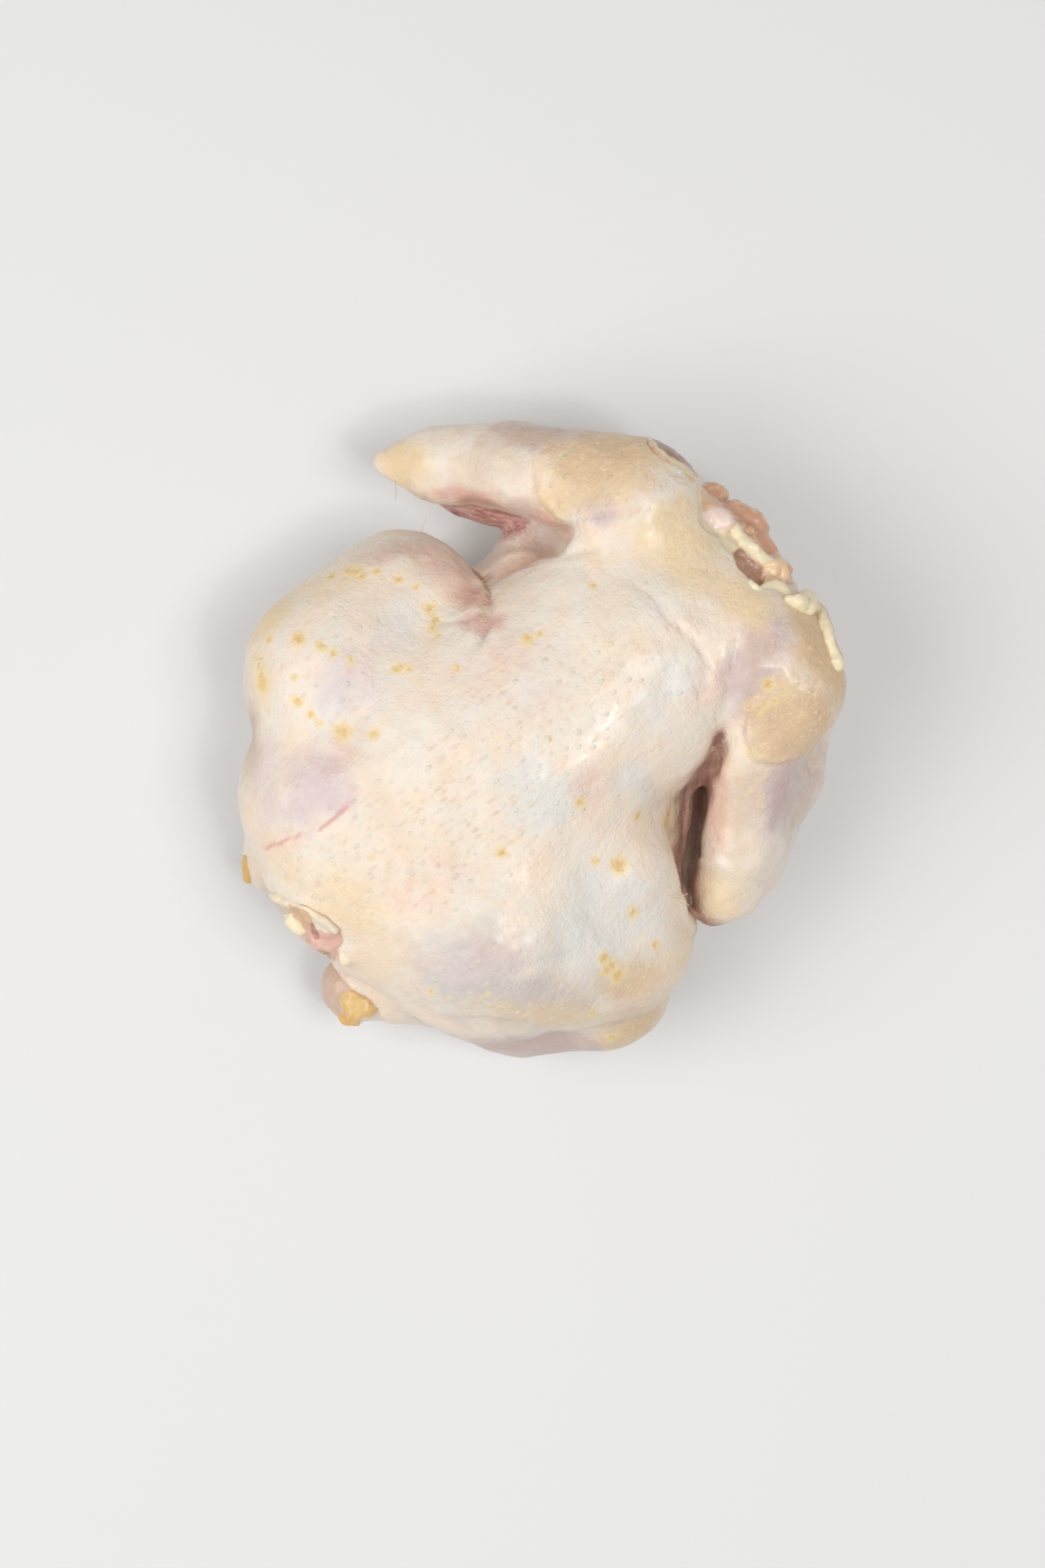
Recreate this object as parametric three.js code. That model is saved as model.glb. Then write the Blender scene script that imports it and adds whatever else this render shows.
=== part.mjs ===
// A whole raw chicken, plucked and trimmed, lying on its breast with its back up.
// It is one piece of meat, so it is one closed solid.
// Millimetres. +X runs along the back from the tail to the neck, +Y is the bird's left, +Z is up.
import * as THREE from "three";

// Driving sizes
const BACK_HEIGHT = 100;
const HIP_HEIGHT = 57;
const SHOULDER_HEIGHT = 74;
const LEG_REST_HEIGHT = 22;
const FLAT_SPOT_DEPTH = 1.5;
const FACET = 6.2;
const EASING_PASSES = 2;
const FILL_DEPTH = 0.3;

// Trunk: each mass has its middle, its full length, width and height, and how square it is
const CHEST = { at: [24, 0, 51], length: 160, width: 96, height: 98, squareness: 2.3 };
const HIPS = { at: [-38, -2, 62], length: 120, width: 118, height: 66, squareness: 2.4, tilt: 5 };
const LEFT_RUMP = { at: [-58, 24, HIP_HEIGHT], length: 72, width: 64, height: 58, squareness: 2.2 };
const TAIL_END = { at: [-82, -1, 58], length: 38, width: 44, height: 44, squareness: 2.4 };
const NECK_END = { at: [86, 8, 52], length: 37, width: 46, height: 44 };
const BREAST = { length: 124, width: 64, height: 68, squareness: 2.2 };
const BREAST_MIDDLE = { x: 26, y: 25 };

// Joints of the limbs, as the folded bird holds them
const LEFT = {
  hip: [-37, 54, HIP_HEIGHT], knee: [-6, 60, 36], hock: [-94, 20, 27],
  shoulder: [77, 41, SHOULDER_HEIGHT], elbow: [21, 101, 46], wrist: [80, 51, 42],
};
const RIGHT = {
  hip: [-48, -44, HIP_HEIGHT + 1], knee: [-31, -83, 34], hock: [-99, -31, 27],
  shoulder: [78, -40, SHOULDER_HEIGHT + 1], elbow: [13, -84, 48], wrist: [82, -46, 46],
};

// Smooth union of two distances, rounded over the given width
function join(a, b, width) {
  if (width === 0) return Math.min(a, b);
  const share = THREE.MathUtils.clamp(0.5 + (b - a) / (2 * width), 0, 1);
  return THREE.MathUtils.lerp(b, a, share) - width * share * (1 - share);
}

// A rounded mass: an ellipsoid, or a squarer body as squareness rises above 2
function mass({ at, length, width, height, squareness = 2, tilt = 0 }) {
  const middle = new THREE.Vector3(...at);
  const half = [length / 2, width / 2, height / 2];
  const level = new THREE.Quaternion();
  level.setFromAxisAngle(new THREE.Vector3(0, 1, 0), THREE.MathUtils.degToRad(tilt));
  const local = new THREE.Vector3();
  return (point) => {
    local.copy(point).sub(middle).applyQuaternion(level);
    const share = local.toArray().map((value, axis) => Math.abs(value) / half[axis] + 1e-6);
    const sum = share.reduce((total, value) => total + value ** squareness, 0);
    const reach = sum ** (1 / squareness);
    const slopes = share.map((value, axis) => value ** (squareness - 1) / half[axis]);
    const slope = Math.hypot(...slopes) * (reach / sum);
    return (reach - 1) / slope;
  };
}

// A length of limb that tapers from one round end to the other
function taper(from, to) {
  const start = new THREE.Vector3(...from.at);
  const along = new THREE.Vector3(...to.at).sub(start);
  const length = along.length();
  const loss = (from.radius - to.radius) / length;
  along.normalize();
  const offset = new THREE.Vector3();
  return (point) => {
    offset.copy(point).sub(start);
    const axial = offset.dot(along);
    const radial = Math.sqrt(Math.max(offset.lengthSq() - axial * axial, 0));
    const rise = Math.sqrt(1 - loss * loss);
    const station = axial * rise - radial * loss;
    if (station < 0) return Math.hypot(axial, radial) - from.radius;
    if (station > length * rise) return Math.hypot(axial - length, radial) - to.radius;
    return radial * rise + axial * loss - from.radius;
  };
}

// A limb through several stations, each with its radius
function limb(stations, softness) {
  const lengths = stations.slice(1).map((station, index) => taper(stations[index], station));
  return (point) => lengths.map((length) => length(point)).reduce((a, b) => join(a, b, softness));
}

// A web of skin stretched between three points
function web(corners, thickness) {
  const sheet = new THREE.Triangle(...corners.map((corner) => new THREE.Vector3(...corner)));
  const nearest = new THREE.Vector3();
  return (point) => sheet.closestPointToPoint(point, nearest).distanceTo(point) - thickness / 2;
}

const station = (x, y, z, radius) => ({ at: [x, y, z], radius });
const joint = (at, radius) => ({ at, radius });

function trunk() {
  const drop = BREAST.height / 2 - FLAT_SPOT_DEPTH;
  const breast = (side) => mass({ ...BREAST, at: [BREAST_MIDDLE.x, side * BREAST_MIDDLE.y, drop] });
  return [
    { form: mass(CHEST), blend: 0 },
    { form: mass(HIPS), blend: 16 },
    { form: mass(LEFT_RUMP), blend: 10 },
    { form: mass(TAIL_END), blend: 10 },
    { form: breast(+1), blend: 8 },
    { form: breast(-1), blend: 8 },
    { form: mass(NECK_END), blend: 5 },
  ];
}

function leftLeg() {
  const thigh = [joint(LEFT.hip, 33), station(-9, 59, 52, 28)];
  const calf = [joint(LEFT.knee, 20), station(-46, 46, LEG_REST_HEIGHT, 23), station(-84, 28, 27, 12)];
  return [
    { form: limb(thigh, 0), blend: 9 },
    { form: limb([...calf, joint(LEFT.hock, 12)], 8), blend: 3 },
  ];
}

function rightLeg() {
  const thigh = [joint(RIGHT.hip, 38), station(-20, -71, 50, 27)];
  const flank = [station(-12, -66, 34, 24), station(14, -54, 38, 22)];
  const calf = [joint(RIGHT.knee, 22), station(-54, -66, LEG_REST_HEIGHT, 23), station(-84, -41, 27, 12)];
  return [
    { form: limb(thigh, 0), blend: 12 },
    { form: mass({ at: [-4, -54, 58], length: 44, width: 44, height: 52 }), blend: 10 },
    { form: limb(flank, 0), blend: 8 },
    { form: limb([...calf, joint(RIGHT.hock, 13)], 8), blend: 3 },
  ];
}

function leftWing() {
  const shoulder = { at: [72, 36, SHOULDER_HEIGHT - 1], length: 48, width: 40, height: 40 };
  const upper = [joint(LEFT.shoulder, 18), station(50, 72, 60, 15), station(31, 92, 50, 11)];
  const fore = [station(34, 94, 40, 10), station(58, 72, 38, 12), joint(LEFT.wrist, 11)];
  const armpit = [[72, 44, 78], [54, 56, 66], [52, 42, 76]];
  return [
    { form: mass(shoulder), blend: 12 },
    { form: limb([...upper, joint(LEFT.elbow, 5)], 5), blend: 5 },
    { form: limb(fore, 5), blend: 4 },
    { form: web(armpit, 4), blend: 3 },
  ];
}

function rightWing() {
  const shoulder = { at: [78, -29, SHOULDER_HEIGHT + 1], length: 42, width: 44, height: 40 };
  const upper = [joint(RIGHT.shoulder, 18), station(56, -48, 69, 14), station(35, -71, 58, 12),
    station(21, -81, 50, 9)];
  const fore = [station(34, -82, 42, 8), station(60, -64, 42, 12), joint(RIGHT.wrist, 12)];
  return [
    { form: mass(shoulder), blend: 12 },
    { form: limb([...upper, joint(RIGHT.elbow, 5)], 5), blend: 5 },
    { form: limb(fore, 5), blend: 4 },
  ];
}

// Distance to the skin of the whole bird, with its underside flat where it lies
const FORMS = [...trunk(), ...leftLeg(), ...rightLeg(), ...leftWing(), ...rightWing()];

function skinDistance(point) {
  const bird = FORMS.reduce((near, { form, blend }) => join(near, form(point), blend), Infinity);
  return Math.max(bird, -point.z);
}

// Even grid of sample points round the bird
function sampleGrid(low, high, step) {
  const count = [0, 1, 2].map((axis) => Math.ceil((high[axis] - low[axis]) / step) + 1);
  const index = (i, j, k) => (k * count[1] + j) * count[0] + i;
  const place = (i, j, k) => new THREE.Vector3(low[0] + i * step, low[1] + j * step, low[2] + k * step);
  return { count, index, place, step };
}

function* triples(count) {
  for (let k = 0; k < count[2]; k += 1) {
    for (let j = 0; j < count[1]; j += 1) {
      for (let i = 0; i < count[0]; i += 1) yield [i, j, k];
    }
  }
}

function sampleDistances(grid) {
  const values = new Float64Array(grid.count[0] * grid.count[1] * grid.count[2]);
  for (const [i, j, k] of triples(grid.count)) {
    values[grid.index(i, j, k)] = skinDistance(grid.place(i, j, k));
  }
  return values;
}

const CORNERS = [...triples([2, 2, 2])];
const CELL_EDGES = CORNERS.flatMap((a, m) => CORNERS.map((b, n) => [m, n])
  .filter(([, n]) => n > m && Math.hypot(...a.map((value, axis) => value - CORNERS[n][axis])) === 1));

// True if the chosen corners of a cell hang together along its edges
function hangTogether(chosen) {
  const reached = new Set([chosen.indexOf(true)]);
  for (let pass = 0; pass < CORNERS.length; pass += 1) {
    for (const [m, n] of CELL_EDGES) {
      if (!chosen[m] || !chosen[n]) continue;
      if (reached.has(m)) reached.add(n);
      if (reached.has(n)) reached.add(m);
    }
  }
  return reached.size === chosen.filter(Boolean).length;
}

// Fills the pockets that the folds close off from the outside
function fillPockets(grid, values) {
  const open = new Uint8Array(values.length);
  const waiting = [[0, 0, 0]];
  open[grid.index(0, 0, 0)] = 1;
  while (waiting.length > 0) {
    const place = waiting.pop();
    for (let axis = 0; axis < 3; axis += 1) {
      for (const way of [-1, 1]) {
        const next = [...place];
        next[axis] += way;
        if (next[axis] < 0 || next[axis] >= grid.count[axis]) continue;
        const index = grid.index(...next);
        if (open[index] || values[index] < 0) continue;
        open[index] = 1;
        waiting.push(next);
      }
    }
  }
  values.forEach((value, index) => {
    if (value >= 0 && !open[index]) values[index] = -FILL_DEPTH;
  });
}

// Fills the cells where two folds of skin touch only at a point or along a line
function fillPinches(grid, values) {
  const cells = grid.count.map((number) => number - 1);
  let changed = true;
  while (changed) {
    changed = false;
    for (const [i, j, k] of triples(cells)) {
      const at = CORNERS.map(([x, y, z]) => grid.index(i + x, j + y, k + z));
      const inside = at.map((index) => values[index] < 0);
      if (inside.every(Boolean) || !inside.some(Boolean)) continue;
      const outside = inside.map((value) => !value);
      if (hangTogether(inside) && hangTogether(outside) && !facePinched(inside)) continue;
      const open = at.filter((index) => values[index] >= 0);
      const nearest = open.reduce((a, b) => (values[a] < values[b] ? a : b));
      values[nearest] = -FILL_DEPTH;
      changed = true;
    }
  }
}

// True if a face of the cell has only its two opposite corners inside
function facePinched(inside) {
  for (let axis = 0; axis < 3; axis += 1) {
    for (const side of [0, 1]) {
      const face = CORNERS.map((corner, m) => [corner, m]).filter(([corner]) => corner[axis] === side);
      const [a, b, c, d] = face.map(([, m]) => inside[m]);
      if (a === d && b === c && a !== b) return true;
    }
  }
  return false;
}

// Eases sharp facets in the folds: each point moves half way to the middle of its neighbours
function easeFolds(positions, triangles, passes) {
  const neighbours = Array.from({ length: positions.length / 3 }, () => new Set());
  triangles.forEach((point, n) => {
    const next = n % 3 === 2 ? triangles[n - 2] : triangles[n + 1];
    neighbours[point].add(next);
    neighbours[next].add(point);
  });
  let eased = positions;
  for (let pass = 0; pass < passes; pass += 1) {
    const before = eased;
    eased = before.map((value, n) => {
      const axis = n % 3;
      const around = [...neighbours[(n - axis) / 3]];
      const mean = around.reduce((sum, other) => sum + before[3 * other + axis], 0) / around.length;
      const onFloor = axis === 2 && value < 1e-6;
      return onFloor ? 0 : (value + mean) / 2;
    });
  }
  return eased;
}

// Closed faceted surface at distance zero: one vertex in each cell the skin passes through
function skinSurface(low, high, step) {
  const grid = sampleGrid(low, high, step);
  const values = sampleDistances(grid);
  fillPinches(grid, values);
  fillPockets(grid, values);
  const cells = grid.count.map((number) => number - 1);
  const vertexOf = new Map();
  const positions = [];
  for (const [i, j, k] of triples(cells)) {
    const point = new THREE.Vector3();
    let crossings = 0;
    for (const [m, n] of CELL_EDGES) {
      const [a, b] = [CORNERS[m], CORNERS[n]];
      const before = values[grid.index(i + a[0], j + a[1], k + a[2])];
      const after = values[grid.index(i + b[0], j + b[1], k + b[2])];
      if ((before < 0) === (after < 0)) continue;
      const start = grid.place(i + a[0], j + a[1], k + a[2]);
      const end = grid.place(i + b[0], j + b[1], k + b[2]);
      point.add(start.lerp(end, before / (before - after)));
      crossings += 1;
    }
    if (crossings === 0) continue;
    point.divideScalar(crossings);
    vertexOf.set(grid.index(i, j, k), positions.length / 3);
    positions.push(...point.toArray());
  }

  const triangles = [];
  for (const [i, j, k] of triples(cells)) {
    const inside = values[grid.index(i, j, k)] < 0;
    for (let axis = 0; axis < 3; axis += 1) {
      const ahead = [i, j, k];
      ahead[axis] += 1;
      if (inside === values[grid.index(...ahead)] < 0) continue;
      const [u, v] = [(axis + 1) % 3, (axis + 2) % 3];
      const ring = [[0, 0], [1, 0], [1, 1], [0, 1]].map(([du, dv]) => {
        const cell = [i, j, k];
        cell[u] -= du;
        cell[v] -= dv;
        return vertexOf.get(grid.index(...cell));
      });
      const [a, b, c, d] = inside ? ring : ring.reverse();
      triangles.push(a, b, c, a, c, d);
    }
  }
  const geometry = new THREE.BufferGeometry();
  const eased = easeFolds(positions, triangles, EASING_PASSES);
  geometry.setAttribute("position", new THREE.Float32BufferAttribute(eased, 3));
  geometry.setIndex(triangles);
  return geometry;
}

// The grid starts half a facet under the floor, so the flat spot falls between its levels
const MARGIN = 2 * FACET;
const LOW = [-118 - MARGIN, -108 - MARGIN, -1.5 * FACET];
const HIGH = [112 + MARGIN, 110 + MARGIN, BACK_HEIGHT + MARGIN];

const skin = new THREE.MeshStandardMaterial({ color: 0xf0dfce, roughness: 0.42, metalness: 0 });
const surface = skinSurface(LOW, HIGH, FACET);
surface.computeBoundingBox();
const middle = surface.boundingBox.getCenter(new THREE.Vector3());
surface.translate(-middle.x, -middle.y, 0);
surface.computeVertexNormals();

const chicken = new THREE.Mesh(surface, skin);
chicken.name = "chicken";

const bird = new THREE.Group();
bird.add(chicken);

export default bird;
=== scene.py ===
# %% [markdown]
# # A whole raw chicken
# The bird lies on its breast with its back up, wings folded and drumsticks tucked under the tail.
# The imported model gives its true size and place, and this script gives it its looks.
# Everything is measured in the frame of that model: +X towards the neck, +Y the bird's left, +Z up.

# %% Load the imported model
import math

import bpy
import numpy as np
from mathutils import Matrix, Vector
from mathutils.bvhtree import BVHTree


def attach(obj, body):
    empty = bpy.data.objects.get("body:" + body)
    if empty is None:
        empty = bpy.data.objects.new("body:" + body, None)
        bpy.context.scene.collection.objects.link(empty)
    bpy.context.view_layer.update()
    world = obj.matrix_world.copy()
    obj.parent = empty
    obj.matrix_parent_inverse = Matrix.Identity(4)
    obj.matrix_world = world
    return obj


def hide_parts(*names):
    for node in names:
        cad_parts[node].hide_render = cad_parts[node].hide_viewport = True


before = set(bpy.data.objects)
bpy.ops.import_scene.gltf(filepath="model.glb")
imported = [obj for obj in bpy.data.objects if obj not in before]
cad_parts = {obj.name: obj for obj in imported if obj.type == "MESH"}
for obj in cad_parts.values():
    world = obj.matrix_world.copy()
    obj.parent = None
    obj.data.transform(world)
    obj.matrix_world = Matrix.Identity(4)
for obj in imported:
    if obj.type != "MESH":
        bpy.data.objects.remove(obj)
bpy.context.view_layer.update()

MM = 0.001

# %% [markdown]
# The photograph looks straight down. The camera could be placed by eye, but a plan view can be
# worked out: the picture's scale at mid height and the way the spine points give its place and lens.
# The same numbers also tell where any point of the skin falls in the picture, which helps later
# to put the marks of the skin where they belong.

# %% Camera
PICTURE = (1200, 1800)
MM_PER_POINT = 0.29
PLANE_HEIGHT = 60.0
CAMERA_DISTANCE = 1100.0
SPINE_ANGLE = math.radians(38.0)
SPINE_POINT = (607.0, 845.0)
SPINE_MIDDLE = (1.9, -0.1)
SENSOR = 36.0
NEAREST_SEEN = 0.01


def picture_to_bird(across, down, height=PLANE_HEIGHT):
    """Where a point of the picture lies on the bird at a given height, in millimetres."""
    centre = (PICTURE[0] / 2, PICTURE[1] / 2)
    shrink = (CAMERA_DISTANCE - height + PLANE_HEIGHT) / CAMERA_DISTANCE
    right = (across - centre[0]) * MM_PER_POINT * shrink + (centre[0] - SPINE_POINT[0]) * MM_PER_POINT
    up = (centre[1] - down) * MM_PER_POINT * shrink + (SPINE_POINT[1] - centre[1]) * MM_PER_POINT
    cos, sin = math.cos(SPINE_ANGLE), math.sin(SPINE_ANGLE)
    return right * cos + up * sin + SPINE_MIDDLE[0], up * cos - right * sin + SPINE_MIDDLE[1]


def bird_to_picture(points):
    """Where points of the bird fall in the picture, as an array of across and down."""
    centre = np.array(PICTURE) / 2
    cos, sin = math.cos(SPINE_ANGLE), math.sin(SPINE_ANGLE)
    x, y = points[:, 0] - SPINE_MIDDLE[0], points[:, 1] - SPINE_MIDDLE[1]
    grow = CAMERA_DISTANCE / (CAMERA_DISTANCE - points[:, 2] + PLANE_HEIGHT)
    right = (x * cos - y * sin - (centre[0] - SPINE_POINT[0]) * MM_PER_POINT) * grow
    up = (x * sin + y * cos - (SPINE_POINT[1] - centre[1]) * MM_PER_POINT) * grow
    return np.stack([centre[0] + right / MM_PER_POINT, centre[1] - up / MM_PER_POINT], 1)


axis_x, axis_y = picture_to_bird(PICTURE[0] / 2, PICTURE[1] / 2)
lens = bpy.data.cameras.new("camera")
lens.sensor_width = SENSOR
lens.lens = SENSOR * CAMERA_DISTANCE / (PICTURE[1] * MM_PER_POINT)
lens.clip_start = NEAREST_SEEN
camera = bpy.data.objects.new("camera", lens)
camera.location = (axis_x * MM, axis_y * MM, (PLANE_HEIGHT + CAMERA_DISTANCE) * MM)
camera.rotation_euler = (0.0, 0.0, -SPINE_ANGLE)
bpy.context.scene.collection.objects.link(camera)
bpy.context.scene.camera = camera
print(f"camera {camera.location[2]:.2f} m above the floor with a {lens.lens:.1f} mm lens")

# %% [markdown]
# Raw skin is pale, so the light has to be soft and neutral. A wide lamp like a window keeps the round
# forms readable, one overhead makes the broad sheen of wet skin, and a small one sets the glints. The
# Standard view keeps pale colours clean, where a film-like view would grey them.

# %% Floor and studio light
FLOOR_SIZE = 3.0
FLOOR_DROP = 0.0003
FLOOR_COLOUR = (0.775, 0.78, 0.79, 1)
FLOOR_ROUGHNESS = 0.7
WARM_WHITE = (1.0, 0.993, 0.98)
LAMP_TARGET = (0, 0, 0.03)
# Each lamp has its place, its side in metres, its watts and its tint.
LAMPS = {
    "window": ((-1.0, 0.5, 1.45), 1.3, 16, WARM_WHITE),
    "overhead": ((0.35, -0.5, 1.9), 0.7, 11.6, WARM_WHITE),
    "glint": ((0.16, -0.7, 2.1), 0.18, 3.2, (1.0, 0.995, 0.985)),
}
ROOM_COLOUR = (1.0, 0.985, 0.965, 1)
ROOM_STRENGTH = 0.39
scene = bpy.context.scene
scene.view_settings.view_transform = "Standard"
scene.view_settings.look = "None"
scene.view_settings.exposure = 0.0


def new_material(name):
    """A node material and its shader."""
    material = bpy.data.materials.new(name)
    material.use_nodes = True
    return material, material.node_tree.nodes["Principled BSDF"]


floor_mesh = bpy.data.meshes.new("floor")
half = FLOOR_SIZE / 2
floor_mesh.from_pydata([(-half, -half, -FLOOR_DROP), (half, -half, -FLOOR_DROP),
                        (half, half, -FLOOR_DROP), (-half, half, -FLOOR_DROP)], [], [(0, 1, 2, 3)])
floor = bpy.data.objects.new("floor", floor_mesh)
scene.collection.objects.link(floor)
floor_finish, floor_shader = new_material("pale_floor")
floor_shader.inputs["Base Color"].default_value = FLOOR_COLOUR
floor_shader.inputs["Roughness"].default_value = FLOOR_ROUGHNESS
floor_mesh.materials.append(floor_finish)

for name, (place, side, watts, tint) in LAMPS.items():
    light = bpy.data.lights.new(name, "AREA")
    light.size, light.energy, light.color = side, watts, tint
    holder = bpy.data.objects.new(name, light)
    holder.location = place
    holder.rotation_euler = (Vector(LAMP_TARGET) - Vector(place)).to_track_quat("-Z", "Y").to_euler()
    scene.collection.objects.link(holder)
world = bpy.data.worlds.new("studio")
world.use_nodes = True
world.node_tree.nodes["Background"].inputs["Color"].default_value = ROOM_COLOUR
world.node_tree.nodes["Background"].inputs["Strength"].default_value = ROOM_STRENGTH
scene.world = world
print(len(LAMPS), "lamps and a pale room")

# %% [markdown]
# Meat has no flat faces or straight edges. It could be sculpted by hand or blended from metaballs,
# but here it is built like clay in code: each muscle is a rounded mass or a tapering limb, and the
# clay holds, at every point of a fine grid, how far that point is from the skin. Two masses blend
# where their distances are close, as skin does when it bridges a hollow.

# %% A block of clay
REACH = 14.0
FAR_OUTSIDE = 40.0


class Clay:
    """Sample points on an even grid, each with its distance to the surface in millimetres."""

    def __init__(self, low, high, step):
        self.low = np.array(low, float)
        self.step = step
        count = np.ceil((np.array(high) - self.low) / step).astype(int) + 1
        self.values = np.full(count, FAR_OUTSIDE, np.float32)
        self.lines = [self.low[axis] + step * np.arange(count[axis]) for axis in range(3)]

    def region(self, low, high):
        """The part of the grid near a form, and its points."""
        part = []
        for axis in range(3):
            first = math.floor((low[axis] - REACH - self.low[axis]) / self.step)
            last = math.ceil((high[axis] + REACH - self.low[axis]) / self.step) + 1
            part.append(slice(max(first, 0), max(last, 0)))
        lines = [self.lines[axis][part[axis]].astype(np.float32) for axis in range(3)]
        return tuple(part), np.meshgrid(*lines, indexing="ij")

    def add(self, form, blend):
        part, points = self.region(form.low, form.high)
        self.values[part] = join(self.values[part], form.distance(points), blend)

    def carve(self, form, blend):
        part, points = self.region(form.low, form.high)
        self.values[part] = -join(-self.values[part], form.distance(points), blend)


def join(a, b, blend):
    """Smooth union of two distances, rounded over the given width."""
    width = np.maximum(blend, 1e-3)
    share = np.clip(0.5 + (b - a) / (2 * width), 0, 1)
    return b + (a - b) * share - width * share * (1 - share)


print("clay ready")

# %% [markdown]
# Three forms are enough for a bird: a rounded mass for trunk and muscle, a limb through several
# stations with their own thickness, and a thin web of skin between three points.

# %% Masses
SQUARE_REACH = 1.25


class Mass:
    """An ellipsoid, squarer as squareness rises above 2. Sizes are full length, width and height."""

    def __init__(self, at, length, width, height, squareness=2.0, tilt=0.0, turn=0.0):
        self.at = np.array(at, float)
        self.half = np.array([length, width, height]) / 2
        self.power = squareness
        tilt, turn = math.radians(tilt), math.radians(turn)
        up = np.array([[math.cos(tilt), 0, -math.sin(tilt)], [0, 1, 0],
                       [math.sin(tilt), 0, math.cos(tilt)]])
        round_z = np.array([[math.cos(turn), -math.sin(turn), 0],
                            [math.sin(turn), math.cos(turn), 0], [0, 0, 1]])
        self.axes = round_z @ up
        reach = np.sqrt(((self.axes * self.half) ** 2).sum(1)) * (SQUARE_REACH if squareness > 2 else 1.0)
        self.low, self.high = self.at - reach, self.at + reach

    def distance(self, points):
        offset = [points[axis] - self.at[axis] for axis in range(3)]
        share = []
        for axis in range(3):
            along = sum(self.axes[row, axis] * offset[row] for row in range(3))
            share.append(np.abs(along) / self.half[axis] + 1e-6)
        total = sum(value ** self.power for value in share)
        reach = total ** (1 / self.power)
        slopes = sum((value ** (self.power - 1) / half) ** 2 for value, half in zip(share, self.half))
        return (reach - 1) * total / (np.sqrt(slopes) * reach)


print("masses ready")

# %% Limbs


class Limb:
    """Round tapering lengths through stations of (x, y, z, radius), softened where they meet."""

    def __init__(self, stations, softness=0.0):
        self.stations = [np.array(station, float) for station in stations]
        self.softness = softness
        self.low = np.min([station[:3] - station[3] for station in self.stations], 0)
        self.high = np.max([station[:3] + station[3] for station in self.stations], 0)

    def distance(self, points):
        near = None
        for start, end in zip(self.stations, self.stations[1:]):
            length = self.taper(points, start, end)
            near = length if near is None else join(near, length, self.softness)
        return near

    @staticmethod
    def taper(points, start, end):
        offset = [points[axis] - start[axis] for axis in range(3)]
        along = end[:3] - start[:3]
        length = np.linalg.norm(along)
        along = along / length
        loss = (start[3] - end[3]) / length
        rise = math.sqrt(1 - loss * loss)
        axial = sum(offset[axis] * along[axis] for axis in range(3))
        square = sum(value * value for value in offset)
        radial = np.sqrt(np.maximum(square - axial * axial, 0))
        station = axial * rise - radial * loss
        side = radial * rise + axial * loss - start[3]
        first = np.hypot(axial, radial) - start[3]
        last = np.hypot(axial - length, radial) - end[3]
        return np.where(station < 0, first, np.where(station > length * rise, last, side))


print("limbs ready")

# %% Webs


class Web:
    """A thin sheet of skin stretched between three corners."""

    def __init__(self, corners, thickness):
        self.corners = [np.array(corner, float) for corner in corners]
        self.thickness = thickness
        self.low = np.min(self.corners, 0) - thickness
        self.high = np.max(self.corners, 0) + thickness

    def distance(self, points):
        place = np.stack(points, -1)
        normal = np.cross(self.corners[1] - self.corners[0], self.corners[0] - self.corners[2])
        sides = 0
        edge_square = None
        for start, end in zip(self.corners, self.corners[1:] + self.corners[:1]):
            edge, offset = end - start, place - start
            sides = sides + np.sign(offset @ np.cross(edge, normal))
            along = np.clip(offset @ edge / (edge @ edge), 0, 1)[..., None]
            square = ((edge * along - offset) ** 2).sum(-1)
            edge_square = square if edge_square is None else np.minimum(edge_square, square)
        plane_square = ((place - self.corners[0]) @ normal) ** 2 / (normal @ normal)
        return np.sqrt(np.where(sides < 2, edge_square, plane_square)) - self.thickness / 2


print("webs ready")

# %% [markdown]
# To become a mesh, the clay gets one vertex in each grid cell that the skin passes through and one
# quad across each grid line that it crosses. This gives even quads that shade well, where marching
# cubes leaves slivers. Cells in which two folds touch at a point are filled first, so the mesh stays
# a clean closed surface.

# %% Cells that would pinch
CORNERS = [(i, j, k) for k in (0, 1) for j in (0, 1) for i in (0, 1)]
CELL_EDGES = [(m, n) for m in range(8) for n in range(m + 1, 8)
              if sum(abs(a - b) for a, b in zip(CORNERS[m], CORNERS[n])) == 1]
FILL_DEPTH = 0.05
FILL_ROUNDS = 12


def hang_together(chosen):
    """True if the chosen corners of a cell join up along its edges."""
    if not chosen:
        return True
    reached = {min(chosen)}
    for _ in CORNERS:
        for m, n in CELL_EDGES:
            if m in chosen and n in chosen and (m in reached or n in reached):
                reached |= {m, n}
    return reached == set(chosen)


def face_pinched(inside):
    """True if a face of the cell has only two opposite corners inside."""
    for axis in range(3):
        for side in (0, 1):
            a, b, c, d = [m in inside for m in range(8) if CORNERS[m][axis] == side]
            if a == d and b == c and a != b:
                return True
    return False


def pinched(code):
    """True if the corners inside, or those outside, touch at a point only."""
    inside = {m for m in range(8) if code >> m & 1}
    outside = set(range(8)) - inside
    return face_pinched(inside) or not hang_together(inside) or not hang_together(outside)


PINCHED = np.array([pinched(code) for code in range(256)])
print(int(PINCHED.sum()), "of 256 kinds of cell are pinched")

# %% From clay to mesh


def cell_corners(values):
    """The eight corner values of every cell, last axis in the order of CORNERS."""
    nx, ny, nz = values.shape
    return np.stack([values[i:nx - 1 + i, j:ny - 1 + j, k:nz - 1 + k] for i, j, k in CORNERS], -1)


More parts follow.
